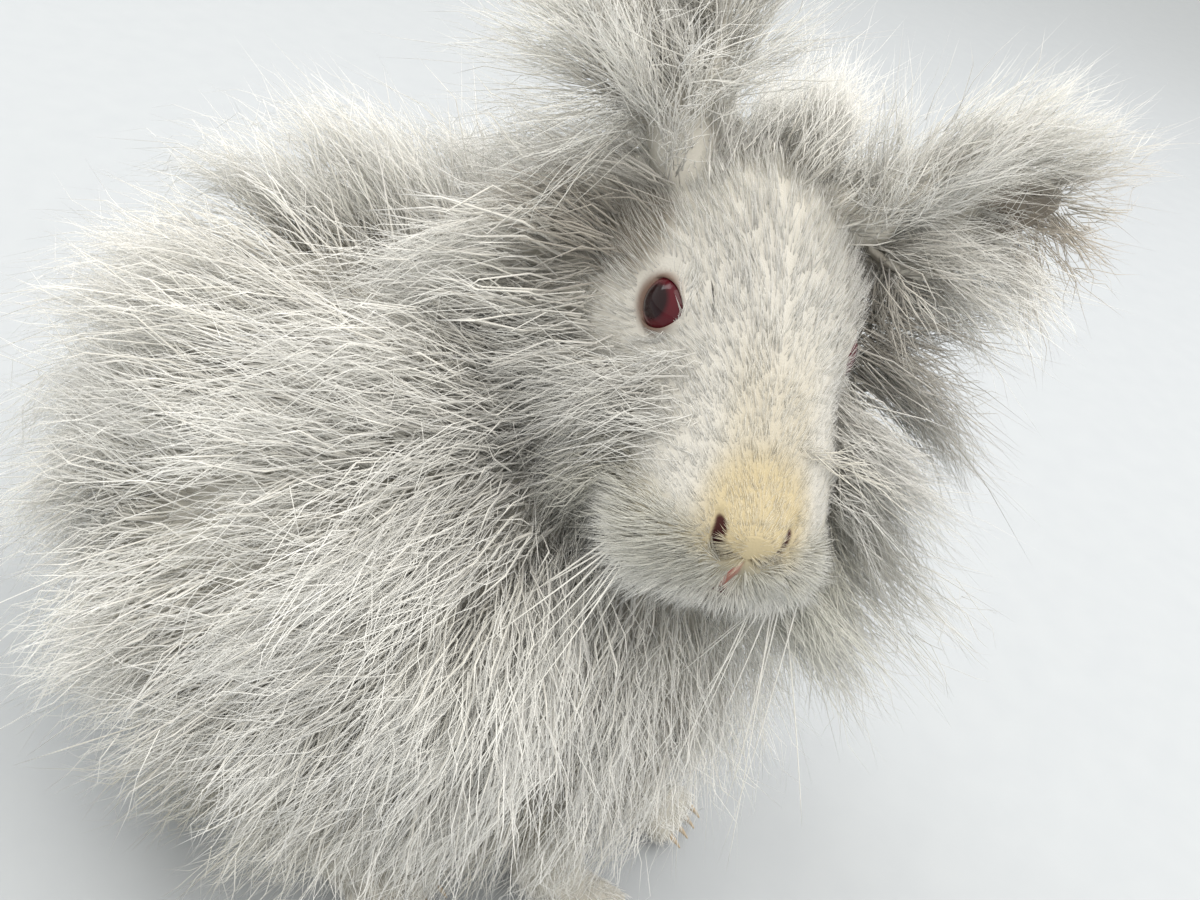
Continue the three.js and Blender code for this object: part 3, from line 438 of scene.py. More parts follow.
def curve_points(corners, count):
    """Evenly spaced points of a smooth curve through the corners (Catmull and Rom's)."""
    p = np.array(corners, float)
    p = np.concatenate([[2 * p[0] - p[1]], p, [2 * p[-1] - p[-2]]])
    at = np.linspace(0, len(corners) - 1 - 1e-9, count)
    i = at.astype(int)
    t = (at - i)[:, None]
    a, b, c, d = p[i], p[i + 1], p[i + 2], p[i + 3]
    return 0.5 * (2 * b + (c - a) * t + (2 * a - 5 * b + 4 * c - d) * t**2 + (3 * b - a - 3 * c + d) * t**3)


def distance_to(points, corners, count=24, seen=(1, 1, 1)):
    """How far each point is from a curve, and how far along the curve its nearest place lies. seen drops an
    axis where it is 0, as when the curve is looked at along it."""
    curve = curve_points(corners, count)
    away = np.linalg.norm((points[..., None, :] - curve) * seen, axis=-1)
    return away.min(axis=-1), away.argmin(axis=-1) / (count - 1)


def both_halves(h):
    """Points of the head with its right half laid on the left one."""
    return np.abs(h) * [1, 0, 0] + h * [0, 1, 1]


def side_of(h):
    """1 for points of the head's left half, -1 for those of its right half."""
    return np.where(h[:, 0] < 0, -1.0, 1.0)


def on_head(h):
    """Which points are the head's, from the nose to the nape and without the ears' ends."""
    return (h[:, 1] < 78) & (h[:, 1] > -8) & (np.abs(h[:, 0]) < 45) & (h[:, 2] > -30)


def face_dents(h):
    """Depth of the nostrils, the line under the nose and the mouth, each a smooth groove round its curve. The
    nostril is a thin crease under the nose that opens to a slit at its side."""
    folded = both_halves(h)
    away, share = distance_to(folded, NOSTRIL)
    slit = smooth(0.1, 0.5, share)
    depth = (2.6 + 3.6 * slit) * np.exp(-(away / (0.9 + 0.6 * slit)) ** 2)
    away, share = distance_to(folded, PHILTRUM)
    depth += 2.2 * np.exp(-(away / 1.1) ** 2)
    away, share = distance_to(folded, MOUTH)
    return depth + 3.4 * np.exp(-(away / 1.15) ** 2) * (1 - 0.6 * share)


def crease_marks(h):
    """How much of each point of the face lies in a nostril, in the line between the lips and in the mouth,
    looked at from in front, because the grooves run straight back."""
    (nostril, share), (between, _), (mouth, _) = (
        distance_to(both_halves(h), crease, seen=(1, 0, 1)) for crease in (NOSTRIL, PHILTRUM, MOUTH))
    front = (h[:, 1] < 20) & (h[:, 1] > -8)
    wide = 0.9 + 0.6 * smooth(0.1, 0.5, share)
    marks = smooth(1.0, 0.5, nostril / wide), smooth(1.3, 0.6, between), smooth(1.5, 0.8, mouth)
    return [mark * front for mark in marks]


def head_shell(rows=170, columns=200):
    """Superellipse sections from nose to nape, swollen and dented by bells of height round each form."""
    start, end = HEAD_SECTIONS[0, 0], HEAD_SECTIONS[-1, 0]
    place = start + (end - start) * np.linspace(0, 1, rows) ** 1.6
    half, top, bottom = section_at(place)
    middle, tall = (top + bottom) / 2, (top - bottom) / 2
    angle = np.linspace(0, 2 * math.pi, columns, endpoint=False)
    power = 2 / HEAD_SQUARENESS
    c, d = np.cos(angle), np.sin(angle)
    x = half[:, None] * np.sign(c) * np.abs(c) ** power
    z = middle[:, None] + tall[:, None] * np.sign(d) * np.abs(d) ** power
    points = np.stack([x, np.broadcast_to(place[:, None], x.shape), z], axis=-1)
    axis = np.stack([0 * place, place + 6, middle], axis=-1)[:, None, :]
    out = unit(points - axis)
    push = np.full(points.shape[:2], -SHORT_FUR)
    for centre, radius, rise in HEAD_FORMS:
        for side in (1,) if centre[0] == 0 else (1, -1):
            away = np.sum((points - np.array(centre) * [side, 1, 1]) ** 2, axis=-1)
            push += rise * np.exp(-away / radius**2)
    points = points + out * push[..., None]
    inward = unit(np.array(MUZZLE_MIDDLE) - points)
    points = points + inward * face_dents(points)[..., None]
    return points, np.array([0, start - 1.2 + SHORT_FUR * 0.6, 0]), np.array([0, end - 1, 24])


def ear_axes(side):
    """The way an ear points, its foot, the way its cup opens, and across it, in the head's frame."""
    way = unit(np.array(EAR_LEFT_WAY if side > 0 else EAR_RIGHT_WAY))
    foot = np.array(EAR_FOOT) * [side, 1, 1]
    opening = np.array([side * 0.5, -0.85, 0.1])
    opening = unit(opening - way * (opening @ way))
    across = unit(np.cross(way, opening))
    return way, foot, opening, across


def ear_profile(t):
    """Half the opening angle of the curl, its radius and how far its axis leans, at a share of the length."""
    half_width = EAR_HALF_WIDTH * np.sin(math.pi * (0.16 + 0.8 * t)) ** 0.75
    curl = np.radians(150 - 95 * np.minimum(1, t * 1.5))
    radius = half_width / np.sin(np.minimum(curl, math.pi / 2))
    return curl, radius, 5 * t * t


def ear_shell(side, rows=70, around=36):
    """A leaf rolled round its length: an arc outside and the same arc a wall's thickness inside it."""
    way, foot, opening, across = ear_axes(side)
    t = np.linspace(0, 1, rows)
    curl, radius, lean = ear_profile(t)
    centre = foot + way * (EAR_CUP_START + (EAR_LENGTH - 2 - EAR_CUP_START) * t)[:, None]
    centre = centre + opening * (lean + radius * 0.75)[:, None]
    share = np.concatenate([np.linspace(0, 1, around), np.linspace(1, 0, around)])
    reach = np.concatenate([np.full(around, -0.6), np.full(around, -0.6 - EAR_WALL)])
    angle = (2 * share - 1)[None, :] * (curl[:, None] * 0.97)
    size = radius[:, None] + reach[None, :]
    points = centre[:, None] + across * (size * np.sin(angle))[..., None]
    points = points - opening * (size * np.cos(angle))[..., None]
    first = (points[0, around // 2] + points[0, around + around // 2]) / 2
    last = (points[-1, around // 2] + points[-1, around + around // 2]) / 2
    return points, first, last


def ear_foot(side):
    """The round stem that joins an ear to the head."""
    way, foot, opening, _ = ear_axes(side)
    axis = foot + opening * EAR_FOOT_FORWARD
    path = axis + way * np.linspace(-EAR_SINK, EAR_CUP_START + 1, 12)[:, None]
    return tube(path, np.full(12, EAR_FOOT_RADIUS), 32)


def eye_axes(side):
    """The way an eye looks, and the ways along and above it, in the head's frame."""
    way = unit(np.array(EYE_WAY) * [side, 1, 1])
    along = unit(np.cross([0, 0, 1], way))
    above = np.cross(way, along)
    return way, along, above


def lid_shell(side, rows=96, columns=20):
    """A soft ring round the eye's almond: its section runs from the ball up over the rim and down
    under the skin. rows goes round the almond, columns round the section. spread is how far each point lies
    outside the opening, and lift how far above the ball."""
    way, along, above = eye_axes(side)
    a = np.linspace(0, 2 * math.pi, rows, endpoint=False)
    tilt = math.radians(side * EYE_TILT)
    x = 0.5 * EYE_OPENING[0] * np.cos(a)
    y = 0.5 * EYE_OPENING[1] * np.sin(a) * (1 - 0.22 * np.cos(a) ** 4)
    out = unit(np.stack([np.cos(a) / EYE_OPENING[0], np.sin(a) / EYE_OPENING[1]], -1))
    section = np.linspace(0, 2 * math.pi, columns, endpoint=False)
    spread = 2.6 - 2.6 * np.cos(section)
    lift = 0.25 + 0.95 * np.sin(section) - 0.25 * spread
    flat_x = x[:, None] + out[:, :1] * spread
    flat_y = y[:, None] + out[:, 1:] * spread
    size = EYE_RADIUS + 0.15 + lift
    depth = np.sqrt(np.maximum(size**2 - flat_x**2 - flat_y**2, 4))
    turned_x = flat_x * math.cos(tilt) - flat_y * math.sin(tilt)
    turned_y = flat_x * math.sin(tilt) + flat_y * math.cos(tilt)
    centre = np.array(EYE_CENTRE) * [side, 1, 1]
    return centre + along * turned_x[..., None] + above * turned_y[..., None] + way * depth[..., None]


def torus_faces(rows, columns, island):
    """Faces and unwrap of a grid that closes both ways."""
    u0, v0, wide, tall = island
    row, column = (part.ravel() for part in np.indices((rows, columns)))
    corners = [(row, column), (row, column + 1), (row + 1, column + 1), (row + 1, column)]
    quads = together(*(r % rows * columns + c % columns for r, c in corners))
    uvs = [together(u0 + wide * c / columns, v0 + tall * r / rows) for r, c in corners]
    return quads, np.stack(uvs, axis=1)


def toe_paths(front, side):
    """Roots and tips of a foot's toes, side by side, the outer ones shorter."""
    share = np.linspace(-0.5, 0.5, TOES)
    x, y, z = front * np.array([side, 1, 1])
    spread = share * TOE_SPREAD[front]
    tip_y = y - 5 * (1 - 0.25 * np.abs(share))
    return together(x + spread, y + 6.0, z), together(x + spread * 1.25, tip_y, z - 1.5)


def flesh_parts():
    """Every closed part that the skin is joined from: its island, its rings and whether it is of the head."""
    parts = [
        ("body", ellipsoid(BODY_CORE, 60, 96), False),
        ("chest", ellipsoid(CHEST_CORE, 40, 64), False),
        ("tail", ellipsoid(TAIL_CORE, 24, 32), False),
        ("neck", ellipsoid(NECK_CORE, 40, 64), True),
        ("head", head_shell(), True),
    ]
    for word, side in SIDES:
        parts.append((f"ear_{word}", ear_shell(side), True))
        parts.append((f"shank_{word}", ellipsoid(SHANK, 24, 32, side), False))
        for name, (start, end, radius) in (("hind", HIND_FOOT), ("fore", FORELEG), ("paw", FRONT_PAW)):
            path = np.linspace(start, end, 16) * [side, 1, 1]
            parts.append((f"{name}_{word}", tube(path, np.full(16, radius), 28, LIMB_FLATNESS), False))
    for word, side in SIDES:
        for front in TOE_SPREAD:
            for root, tip in zip(*toe_paths(front, side)):
                parts.append(("toes", tube(np.linspace(root, tip, 5), np.full(5, TOE_RADIUS), 16), False))
        parts.append((f"ear_{word}", ear_foot(side), True))
    return parts


def build_skin():
    """One closed surface: every part of the flesh and the ring of each eyelid, joined by a union."""
    things = []
    for number, (name, grid, of_head) in enumerate(flesh_parts()):
        points, first, last = (head_to_body(part) for part in grid) if of_head else grid
        points = np.maximum(points, [-np.inf, -np.inf, FLOOR_GAP])
        island = ISLANDS[name]
        if name == "toes":
            u0, v0, wide, tall = island
            island = (u0 + wide * (number % 16) / 16, v0, wide / 17, tall)
        things.append(make_object(f"part_{number}", *closed_grid(points, first, last, island)))
    for word, side in SIDES:
        ring = head_to_body(lid_shell(side))
        quads, uvs = torus_faces(*ring.shape[:2], ISLANDS[f"lid_{word}"])
        flat = ring.reshape(-1, 3)
        things.append(make_object(f"lid_{word}", flat, *facing_out(flat, [quads], [uvs])))
    skin, *others = things
    skin.name = skin.data.name = "skin"
    rest = bpy.data.collections.new("flesh")
    for thing in others:
        rest.objects.link(thing)
    union = skin.modifiers.new("union", "BOOLEAN")
    union.operation = "UNION"
    union.operand_type = "COLLECTION"
    union.collection = rest
    union.solver = "EXACT"
    depsgraph = bpy.context.evaluated_depsgraph_get()
    mesh = bpy.data.meshes.new_from_object(skin.evaluated_get(depsgraph), depsgraph=depsgraph)
    skin.modifiers.clear()
    spent = [skin.data] + [thing.data for thing in others]
    skin.data = mesh
    for thing in others:
        bpy.data.objects.remove(thing)
    for data in spent:
        bpy.data.meshes.remove(data)
    bpy.data.collections.remove(rest)
    mesh.name = "skin"
    mesh.materials.clear()
    mesh.polygons.foreach_set("use_smooth", np.ones(len(mesh.polygons), bool))
    return skin


def skin_arrays():
    """The skin's triangles in millimetres, with their corners' normals and unwrap."""
    mesh = bpy.data.objects["skin"].data
    mesh.calc_loop_triangles()
    corners = read(mesh.loop_triangles, "vertices", 3, np.int32)
    loops = read(mesh.loop_triangles, "loops", 3, np.int32)
    uv = read(mesh.uv_layers["OFBake"].uv, "vector", 2)
    return mesh_points(mesh)[corners], read(mesh.vertices, "normal", 3)[corners], uv[loops]


def in_island(uv, *names):
    """Which places of the unwrap lie in the named islands."""
    inside = np.zeros(len(uv), bool)
    for u0, v0, wide, tall in (ISLANDS[name] for name in names):
        inside |= (uv >= (u0, v0)).all(axis=1) & (uv <= (u0 + wide, v0 + tall)).all(axis=1)
    return inside


def scatter(count, random, names, weight=None):
    """Roots strewn over the skin's islands: triangles drawn by area times weight, which takes their middles
    and normals, and an even place in each."""
    triangles, normals, uvs = skin_arrays()
    wanted = in_island(uvs.mean(axis=1), *names)
    triangles, normals, uvs = triangles[wanted], normals[wanted], uvs[wanted]
    a, b, c = (triangles[:, k] for k in range(3))
    area = np.linalg.norm(np.cross(b - a, c - a), axis=1)
    chance = area * (1 if weight is None else weight(triangles.mean(axis=1), unit(normals.mean(axis=1))))
    pick = np.searchsorted(np.cumsum(chance) / chance.sum(), random.random(count))
    pick = np.minimum(pick, len(triangles) - 1)
    a, b = random.random(count), random.random(count)
    over = a + b > 1
    a, b = np.where(over, 1 - a, a), np.where(over, 1 - b, b)
    shares = np.stack([1 - a - b, a, b], axis=1)[..., None]
    point, normal, uv = ((corners[pick] * shares).sum(axis=1) for corners in (triangles, normals, uvs))
    return {"point": point, "normal": unit(normal), "uv": uv}


# Colours of the coat, the same for skin and strands


def coat_tones(points):
    """Root and tip tones by place: tan nose, pale lips, grey pads, cream face, grey-beige wool, a brown spot
    near the end of the left ear, a painted shadow in the hollow between each eye and its ear, and painted
    shade that makes the wool darker and browner low on the body."""
    h = body_to_head(points)
    x, y, z = np.abs(h[:, 0]), h[:, 1], h[:, 2]
    head = on_head(h)
    # Painted shade low on the body: below about 105 mm the wool is darkened and browned, fading out again near
    # the floor and at the back of the rump
    low = smooth(105, 30, points[:, 2]) * smooth(10, 34, points[:, 2]) * smooth(98, 80, points[:, 1])
    face = smooth(75, 40, y) * head
    pad = face * smooth(34, 20, y) * smooth(8, 0, z)
    smudge = face * np.exp(-((y - 24) / 8) ** 2 - ((z - 8) / 8) ** 2) * smooth(8, 16, x)
    bridge = head * smooth(13, 6, x) * smooth(34, 12, y) * smooth(0, 4, z)
    dome = np.sqrt((x / 11.5) ** 2 + ((y - 4) / 12) ** 2 + ((z - 7) / 12) ** 2)
    nose = head * smooth(1.35, 0.65, dome) * smooth(-3.5, -0.5, z)
    # Painted shadow in the hollow between each eye and the foot of its ear
    eye_ear_shadow = head * smooth(16, 7, np.linalg.norm(both_halves(h) - [27, 60, 34], axis=1))
    spot = smooth(13, 6, np.linalg.norm(h - [66, 75, 62], axis=1))
    lip = head * smooth(-6, -10, z) * smooth(20, 12, y)
    # The root tone is darker than the tip's: partly the wool's own deeper tone near the skin, partly painted
    # shade deep in the coat
    root, tip = tone("#d9d5ca"), tone("#f8f7f2")
    for share, root_colour, tip_colour in (
        # painted shade low on the body
        (0.8 * low, "#857b60", "#a9a48b"),
        (face, "#c6c3bb", "#d9d8d3"),
        (pad, "#a09a88", "#dcdbd1"),
        (0.75 * smudge, None, "#a9a596"),
        (0.7 * bridge, "#bab19c", "#d1ccbc"),
        (nose, "#bcae8c", "#d3c8aa"),
        # painted shadow between eye and ear
        (0.75 * eye_ear_shadow, "#6d6252", "#9c9383"),
        (0.7 * spot, "#807466", "#ab9a82"),
        (lip, "#cfcabf", "#f2f1ea"),
    ):
        tip = blend(tip, tone(tip_colour), share)
        if root_colour:
            root = blend(root, tone(root_colour), share)
    return root, tip


# Strands


def strands(paths, half_width, normal, uv, root_tone, tip_tone, sides=3, flatness=HAIR_FLATNESS):
    """Closed tapered strands: rings across each path, a cap at the root and a point at the tip. A ring is an
    ellipse with a few corners, as wide as half_width each way and flatness times that thick. paths is strands
    by steps by 3, half_width strands by steps less one. Gives points, tones, faces and unwrap."""
    count, steps = paths.shape[:2]
    rings = steps - 1
    ahead = unit(np.concatenate([paths[:, 1:2] - paths[:, :1], paths[:, 2:] - paths[:, :-2]], axis=1))
    across = unit(np.cross(ahead, normal[:, None, :] + 1e-3))[:, :, None, :]
    above = np.cross(across, ahead[:, :, None, :])
    angles = (2 * math.pi * (np.arange(sides) + 0.25) / sides)[:, None]
    ring = paths[:, :-1, None, :] + half_width[:, :, None, None] * (
        across * np.cos(angles) + flatness * above * np.sin(angles))
    points = np.concatenate([ring.reshape(count, sides * rings, 3), paths[:, -1:, :]], axis=1)
    j = np.arange(sides)
    onward = (j + 1) % sides
    quads = np.concatenate([
        np.stack([sides * k + j, sides * k + onward, sides * (k + 1) + onward, sides * (k + 1) + j], -1)
        for k in range(rings - 1)
    ])
    last = sides * (rings - 1)
    tip = np.stack([last + j, last + onward, np.full(sides, sides * rings)], -1)
    cap = np.stack([np.zeros(sides - 2, int), j[2:], j[1:-1]], -1)
    triangles = np.concatenate([tip, cap])
    offset = (np.arange(count) * (sides * rings + 1))[:, None, None]
    step = np.append(np.repeat(np.arange(rings), sides), rings) / rings
    turned = np.append(np.tile(2 * j / (sides - 1) - 1, rings), 0.0)
    vertex_uv = uv[:, None, :] + 0.5 * TUFT_PATCH * np.stack([turned, 2 * step - 1], axis=-1)[None]
    tones = blend(root_tone[:, None, :], tip_tone[:, None, :], (step**0.7)[None, :])
    return {
        "points": points.reshape(-1, 3),
        "tones": tones.reshape(-1, 3),
        "quads": (quads[None] + offset).reshape(-1, 4),
        "triangles": (triangles[None] + offset).reshape(-1, 3),
        "quad_uv": vertex_uv[:, quads].reshape(-1, 4, 2),
        "triangle_uv": vertex_uv[:, triangles].reshape(-1, 3, 2),
    }


def joined(sets):
    """Several sets of points and faces as one, each set's faces counted on from the points before it."""
    starts = np.cumsum([0] + [len(part["points"]) for part in sets[:-1]])
    whole = {key: np.concatenate([part[key] for part in sets]) for key in sets[0]}
    for kind in ("quads", "triangles"):
        whole[kind] = np.concatenate([part[kind] + start for part, start in zip(sets, starts)])
    return whole


def coat_pieces(names, sets, material, tufts=1):
    """Pieces of the coat, each with its share of the whole tufts of every set, its points counted afresh."""
    cuts = (np.arange(len(names) + 1) * tufts // len(names)) / tufts
    for name, low, high in zip(names, cuts[:-1], cuts[1:]):
        parts = []
        for whole in sets:
            part = {}
            for key, rows in whole.items():
                part[key] = rows[round(low * len(rows)):round(high * len(rows))]
            for kind in ("quads", "triangles"):
                part[kind] = part[kind] - round(low * len(whole["points"]))
            parts.append(part)
        coat = joined(parts)
        thing = make_object(name, coat["points"], [coat["quads"], coat["triangles"]],
                            [coat["quad_uv"], coat["triangle_uv"]], coat["tones"])
        dress(thing, material)


def tuft_paths(roots, fields, random, steps, leaders, floor=1.5):
    """The middle line of each tuft. It leaves the skin along its lift, turns into its lie and sinks by its
    weight. The tufts are then drawn to the path of the nearest of a few leading tufts, more and more to the
    tip, so that they gather in locks, and a slow wave runs sideways along each."""
    point, normal = roots["point"], roots["normal"]
    count = len(point)
    leader = random.choice(count, min(leaders, count), replace=False)
    fine = point.astype(np.float32)
    mine = np.linalg.norm(fine[:, None] - fine[leader][None], axis=-1).argmin(axis=1)
    lie = unit(fields["lie"] - normal * np.sum(fields["lie"] * normal, axis=1, keepdims=True))
    side = np.cross(normal, lie)
    swing = fields["swing"] * (random.normal(0, 0.8, len(leader))[mine] + random.normal(0, 0.5, count))
    lie = unit(lie + side * swing[:, None])
    length = fields["length"] * (1 + random.normal(0, 0.12, len(leader))[mine])
    step = length * random.uniform(0.72, 1.1, count) / (steps - 1)
    lift = fields["lift"] * (1 + random.normal(0, 0.25, len(leader))[mine])
    path = np.empty((count, steps, 3))
    path[:, 0] = point - normal * fields["sink"]
    for k in range(1, steps):
        t = (k - 0.5) / (steps - 1)
        rise = np.clip(lift * (1 - t) + fields["end_lift"] * t, 0, 1)[:, None]
        way = unit(normal * rise + lie * (1 - rise))
        way = unit(way + np.array([0, 0, -1.0]) * fields["droop"] * t)
        path[:, k] = path[:, k - 1] + way * step[:, None]
    t = np.linspace(0, 1, steps)
    pull = np.clip(fields["pull"] * random.uniform(0.5, 1.3, count), 0, 0.9)
    path = path + (pull[:, None] * t**1.4)[..., None] * (path[leader[mine]] - path)
    phase = random.uniform(0, 2 * math.pi, count)[:, None]
    wave = fields["wave"] * np.sin(2 * math.pi * 1.2 * t + phase) * t
    path = path + side[:, None] * wave[..., None]
    path[..., 2] = np.maximum(path[..., 2], floor + random.random(path.shape[:2]) * t)
    return path


def on_path(paths, place):
    """Points at places along paths, counted in steps; beyond the tip they run straight on."""
    index = np.clip(place.astype(int), 0, paths.shape[1] - 2)
    share = (place - index)[..., None]
    row = np.arange(len(paths))[:, None]
    return paths[row, index] * (1 - share) + paths[row, index + 1] * share


def within_reach(points):
    """Points past the solids' box are drawn back, the more the further out they are, so that none stands
    further out than FUR_REACH."""
    middle, half = (SOLID_HIGH + SOLID_LOW) / 2, (SOLID_HIGH - SOLID_LOW) / 2
    out = points - middle
    over = np.maximum(np.abs(out) - half, 0)
    return middle + np.sign(out) * (np.abs(out) - over + FUR_REACH * np.tanh(over / FUR_REACH))


def stray_hairs(paths, half_width, normal, random, per_tuft, begin, length, spread, curl):
    """Fine hairs of the tufts. Each starts inside its tuft somewhere along it, runs on as the tuft does, and
    leans and bends away from it by a share of its own length; some stray much further. curl crimps it."""
    count, rows = paths.shape[:2]
    reach = np.linalg.norm(np.diff(paths, axis=1), axis=-1).sum(axis=1)
    start = random.uniform(*begin, (count, per_tuft))
    own = np.broadcast_to(length, count)[:, None] * random.uniform(0.6, 1.2, (count, per_tuft))
    t = np.linspace(0, 1, HAIR_STEPS)
    place = (start[..., None] + (own / reach[:, None])[..., None] * t) * (rows - 1)
    flat = np.repeat(np.arange(count), per_tuft)
    hairs = on_path(paths[flat], place.reshape(len(flat), HAIR_STEPS))
    stray = unit(random.normal(0, 1, (len(flat), 3)) + 0.5 * normal[flat])
    stray = stray * np.where(random.random(len(flat)) < FLYAWAY, 1.5, 0.55)[:, None]
    shift = random.normal(0, 0.75, (len(flat), 1, 3)) * half_width[flat][:, None, None]
    hairs = hairs + shift * (1 - 0.45 * t)[None, :, None]
    bend = unit(random.normal(0, 1, (len(flat), 3)))
    lean = spread * own.reshape(-1, 1)
    hairs = hairs + stray[:, None] * (lean * t)[..., None] + bend[:, None] * (lean * t**2)[..., None]
    hairs = hairs + random.normal(0, curl, hairs.shape) * (t > 0)[None, :, None]
    hairs = within_reach(hairs)
    hairs[..., 2] = np.maximum(hairs[..., 2], 1.0 + 0.5 * random.random(hairs.shape[:2]))
    return hairs, flat, start.reshape(-1)


def woolly(roots, fields, random, rabbit, per_tuft, leaders):
    """The thicker under-wool of each tuft, from the skin up, and the fine hairs over it, as two sets of
    strands. Each kind has its number, where on the tuft it starts, its length, width and spread, and how far
    its tones at root and tip have gone from the coat's root tone to the tip's."""
    paths = tuft_paths(roots, fields, random, TUFT_STEPS, leaders)
    half = 0.5 * fields["width"] * random.uniform(0.8, 1.2, len(paths))
    root, tip = coat_tones(roots["point"])
    vary = 1 + random.normal(0, 0.03, (len(paths), 1))
    root, tip = np.clip(root * vary, 0, 1), np.clip(tip * vary, 0, 1)
    sets = []
    # Painted shade deep in the coat: the under-wool keeps nearer the root tone than the fine hairs do
    for number, begin, length, thick, spread, low, high in (
        (UNDER_HAIRS, (0.0, 0.12), 0.75 * fields["length"], UNDER_WIDTH * fields["width"],
         0.7 * fields["spread"], 0.1, 0.7),
        (per_tuft, (0.12, 0.72), fields["hair"], fields["fine"] * rabbit.hair_width * 1000,
         fields["spread"], 0.6, 1.0),
    ):
        hairs, flat, start = stray_hairs(
            paths, half, roots["normal"], random, number, begin, length, spread, fields["curl"])
        thick = np.broadcast_to(thick, len(paths))[flat] * random.uniform(0.75, 1.25, len(hairs))
        thin = 0.5 * thick[:, None] * np.linspace(1, THINNING, HAIR_STEPS - 1)[None]
        light = 1 + random.normal(0, 0.04, (len(hairs), 1))
        # Painted shade: a fine hair's root is darker the lower on its tuft it starts, partly also the wool's
        # own deeper root tone
        dark = np.clip(blend(root[flat], tip[flat], np.minimum(low + 0.5 * start, 1)) * light, 0, 1)
        pale = np.clip(blend(root[flat], tip[flat], high) * light, 0, 1)
        sets.append(strands(hairs, thin, roots["normal"][flat], roots["uv"][flat], dark, pale))
    return sets


def short_fur(roots, fields, random, leaders):
    """Single short hairs: the coat of the face and feet, which shows no tufts."""
    paths = tuft_paths(roots, fields, random, SHORT_STEPS, leaders, floor=0.4)
    root, tip = coat_tones(roots["point"])
    light = 1 + random.normal(0, 0.05, (len(paths), 1))
    thin = np.full((len(paths), 1), fields["width"]) * 0.5 * np.linspace(1, THINNING, SHORT_STEPS - 1)[None]
    # The hairs' roots are darker than their tips: partly the fur's own deeper tone, partly painted shade near
    # the skin
    dark, pale = np.clip(blend(root, tip, 0.6) * light, 0, 1), np.clip(tip * light, 0, 1)
    return [strands(paths, thin, roots["normal"], roots["uv"], dark, pale)]


def chosen(roots, keep):
    """Some of the roots, or all in another order."""
    return {key: value[keep] for key, value in roots.items()}


# Materials


def add_node(material, kind, settings=None, links=None, **attributes):
    """Adds a node: attributes are its own, settings fill its inputs, links join inputs to other outputs."""
    node = material.node_tree.nodes.new(kind)
    for key, value in attributes.items():
        setattr(node, key, value)
    for key, value in (settings or {}).items():
        node.inputs[key].default_value = value
    for key, output in (links or {}).items():
        material.node_tree.links.new(output, node.inputs[key])
    return node


def new_material(name):
    """A material with no nodes yet."""
    material = bpy.data.materials.new(name)
    material.use_nodes = True
    material.node_tree.nodes.clear()
    return material


def finish_material(material, shader):
    """Joins the shader to the material's surface."""
    add_node(material, "ShaderNodeOutputMaterial", links={"Surface": shader.outputs[0]})
    return material


def wool_material(name):
    """Keratin fibre, matt with the pale edge of light that a fuzzy coat has. The hair's own tone is mottled
    over a few centimetres."""
    material = new_material(name)
    tones = add_node(material, "ShaderNodeAttribute", attribute_name="Tone")
    place = add_node(material, "ShaderNodeTexCoord")
    # Mottling about 30 mm across
    mottle = add_node(material, "ShaderNodeTexNoise", {"Scale": 33.0, "Detail": 1.0},
                      {"Vector": place.outputs["Object"]})
    soft = add_node(material, "ShaderNodeMapRange",
                    {"From Min": 0.3, "From Max": 0.7, "To Min": 0.91, "To Max": 1.0},
                    {"Value": mottle.outputs["Fac"]})
    colour = add_node(material, "ShaderNodeVectorMath", None,
                      {0: tones.outputs["Color"], 1: soft.outputs["Result"]}, operation="MULTIPLY")
    shader = add_node(material, "ShaderNodeBsdfPrincipled",
                      {"Roughness": 0.8, "IOR": 1.5, "Specular IOR Level": 0.15,
                       "Sheen Weight": 0.5, "Sheen Roughness": 0.6},
                      {"Base Color": colour.outputs["Vector"]})
    return finish_material(material, shader)


def skin_material():
    """Thin pale skin under the coat, pinker where it is bare, in the coat's tones, darkened under the wool as
    painted shade.
    """
    material = new_material("coat_covered_skin")
    tones = add_node(material, "ShaderNodeAttribute", attribute_name="Tone")
    place = add_node(material, "ShaderNodeTexCoord")
    # Lying hairs of the shortest fur, about 0.4 mm apart
    hairs = add_node(material, "ShaderNodeTexNoise", {"Scale": 2400.0, "Detail": 2.0},
                     {"Vector": place.outputs["Object"]})
    bump = add_node(material, "ShaderNodeBump", {"Strength": 0.5, "Distance": 0.0003},
                    {"Height": hairs.outputs["Fac"]})
    shader = add_node(material, "ShaderNodeBsdfPrincipled", {"Roughness": 0.7, "Specular IOR Level": 0.3},
                      {"Base Color": tones.outputs["Color"], "Normal": bump.outputs["Normal"]})
    return finish_material(material, shader)


def eye_material():
    """Wet cornea over a ruby iris: very smooth, so that it shows the lights as sharp points."""
    material = new_material("wet_ruby_eye")
    tones = add_node(material, "ShaderNodeAttribute", attribute_name="Tone")
    shader = add_node(material, "ShaderNodeBsdfPrincipled", {"Roughness": 0.05, "IOR": 1.36},
                      {"Base Color": tones.outputs["Color"]})
    return finish_material(material, shader)


def horn_material(name, colour, roughness):
    """Horn or a stiff hair: smooth keratin, slightly see-through in life, shown here as a pale gloss."""
    material = new_material(name)
    place = add_node(material, "ShaderNodeTexCoord")
    # Clouding about 2.5 mm across
    cloud = add_node(material, "ShaderNodeTexNoise", {"Scale": 400.0, "Detail": 2.0},
                     {"Vector": place.outputs["Object"]})
    mix = add_node(material, "ShaderNodeMixRGB",
                   {"Color1": linear(colour), "Color2": (*(0.85 * tone(colour)), 1.0)},
                   {"Fac": cloud.outputs["Fac"]})
    shader = add_node(material, "ShaderNodeBsdfPrincipled", {"Roughness": roughness, "IOR": 1.55},
                      {"Base Color": mix.outputs["Color"]})
    return finish_material(material, shader)


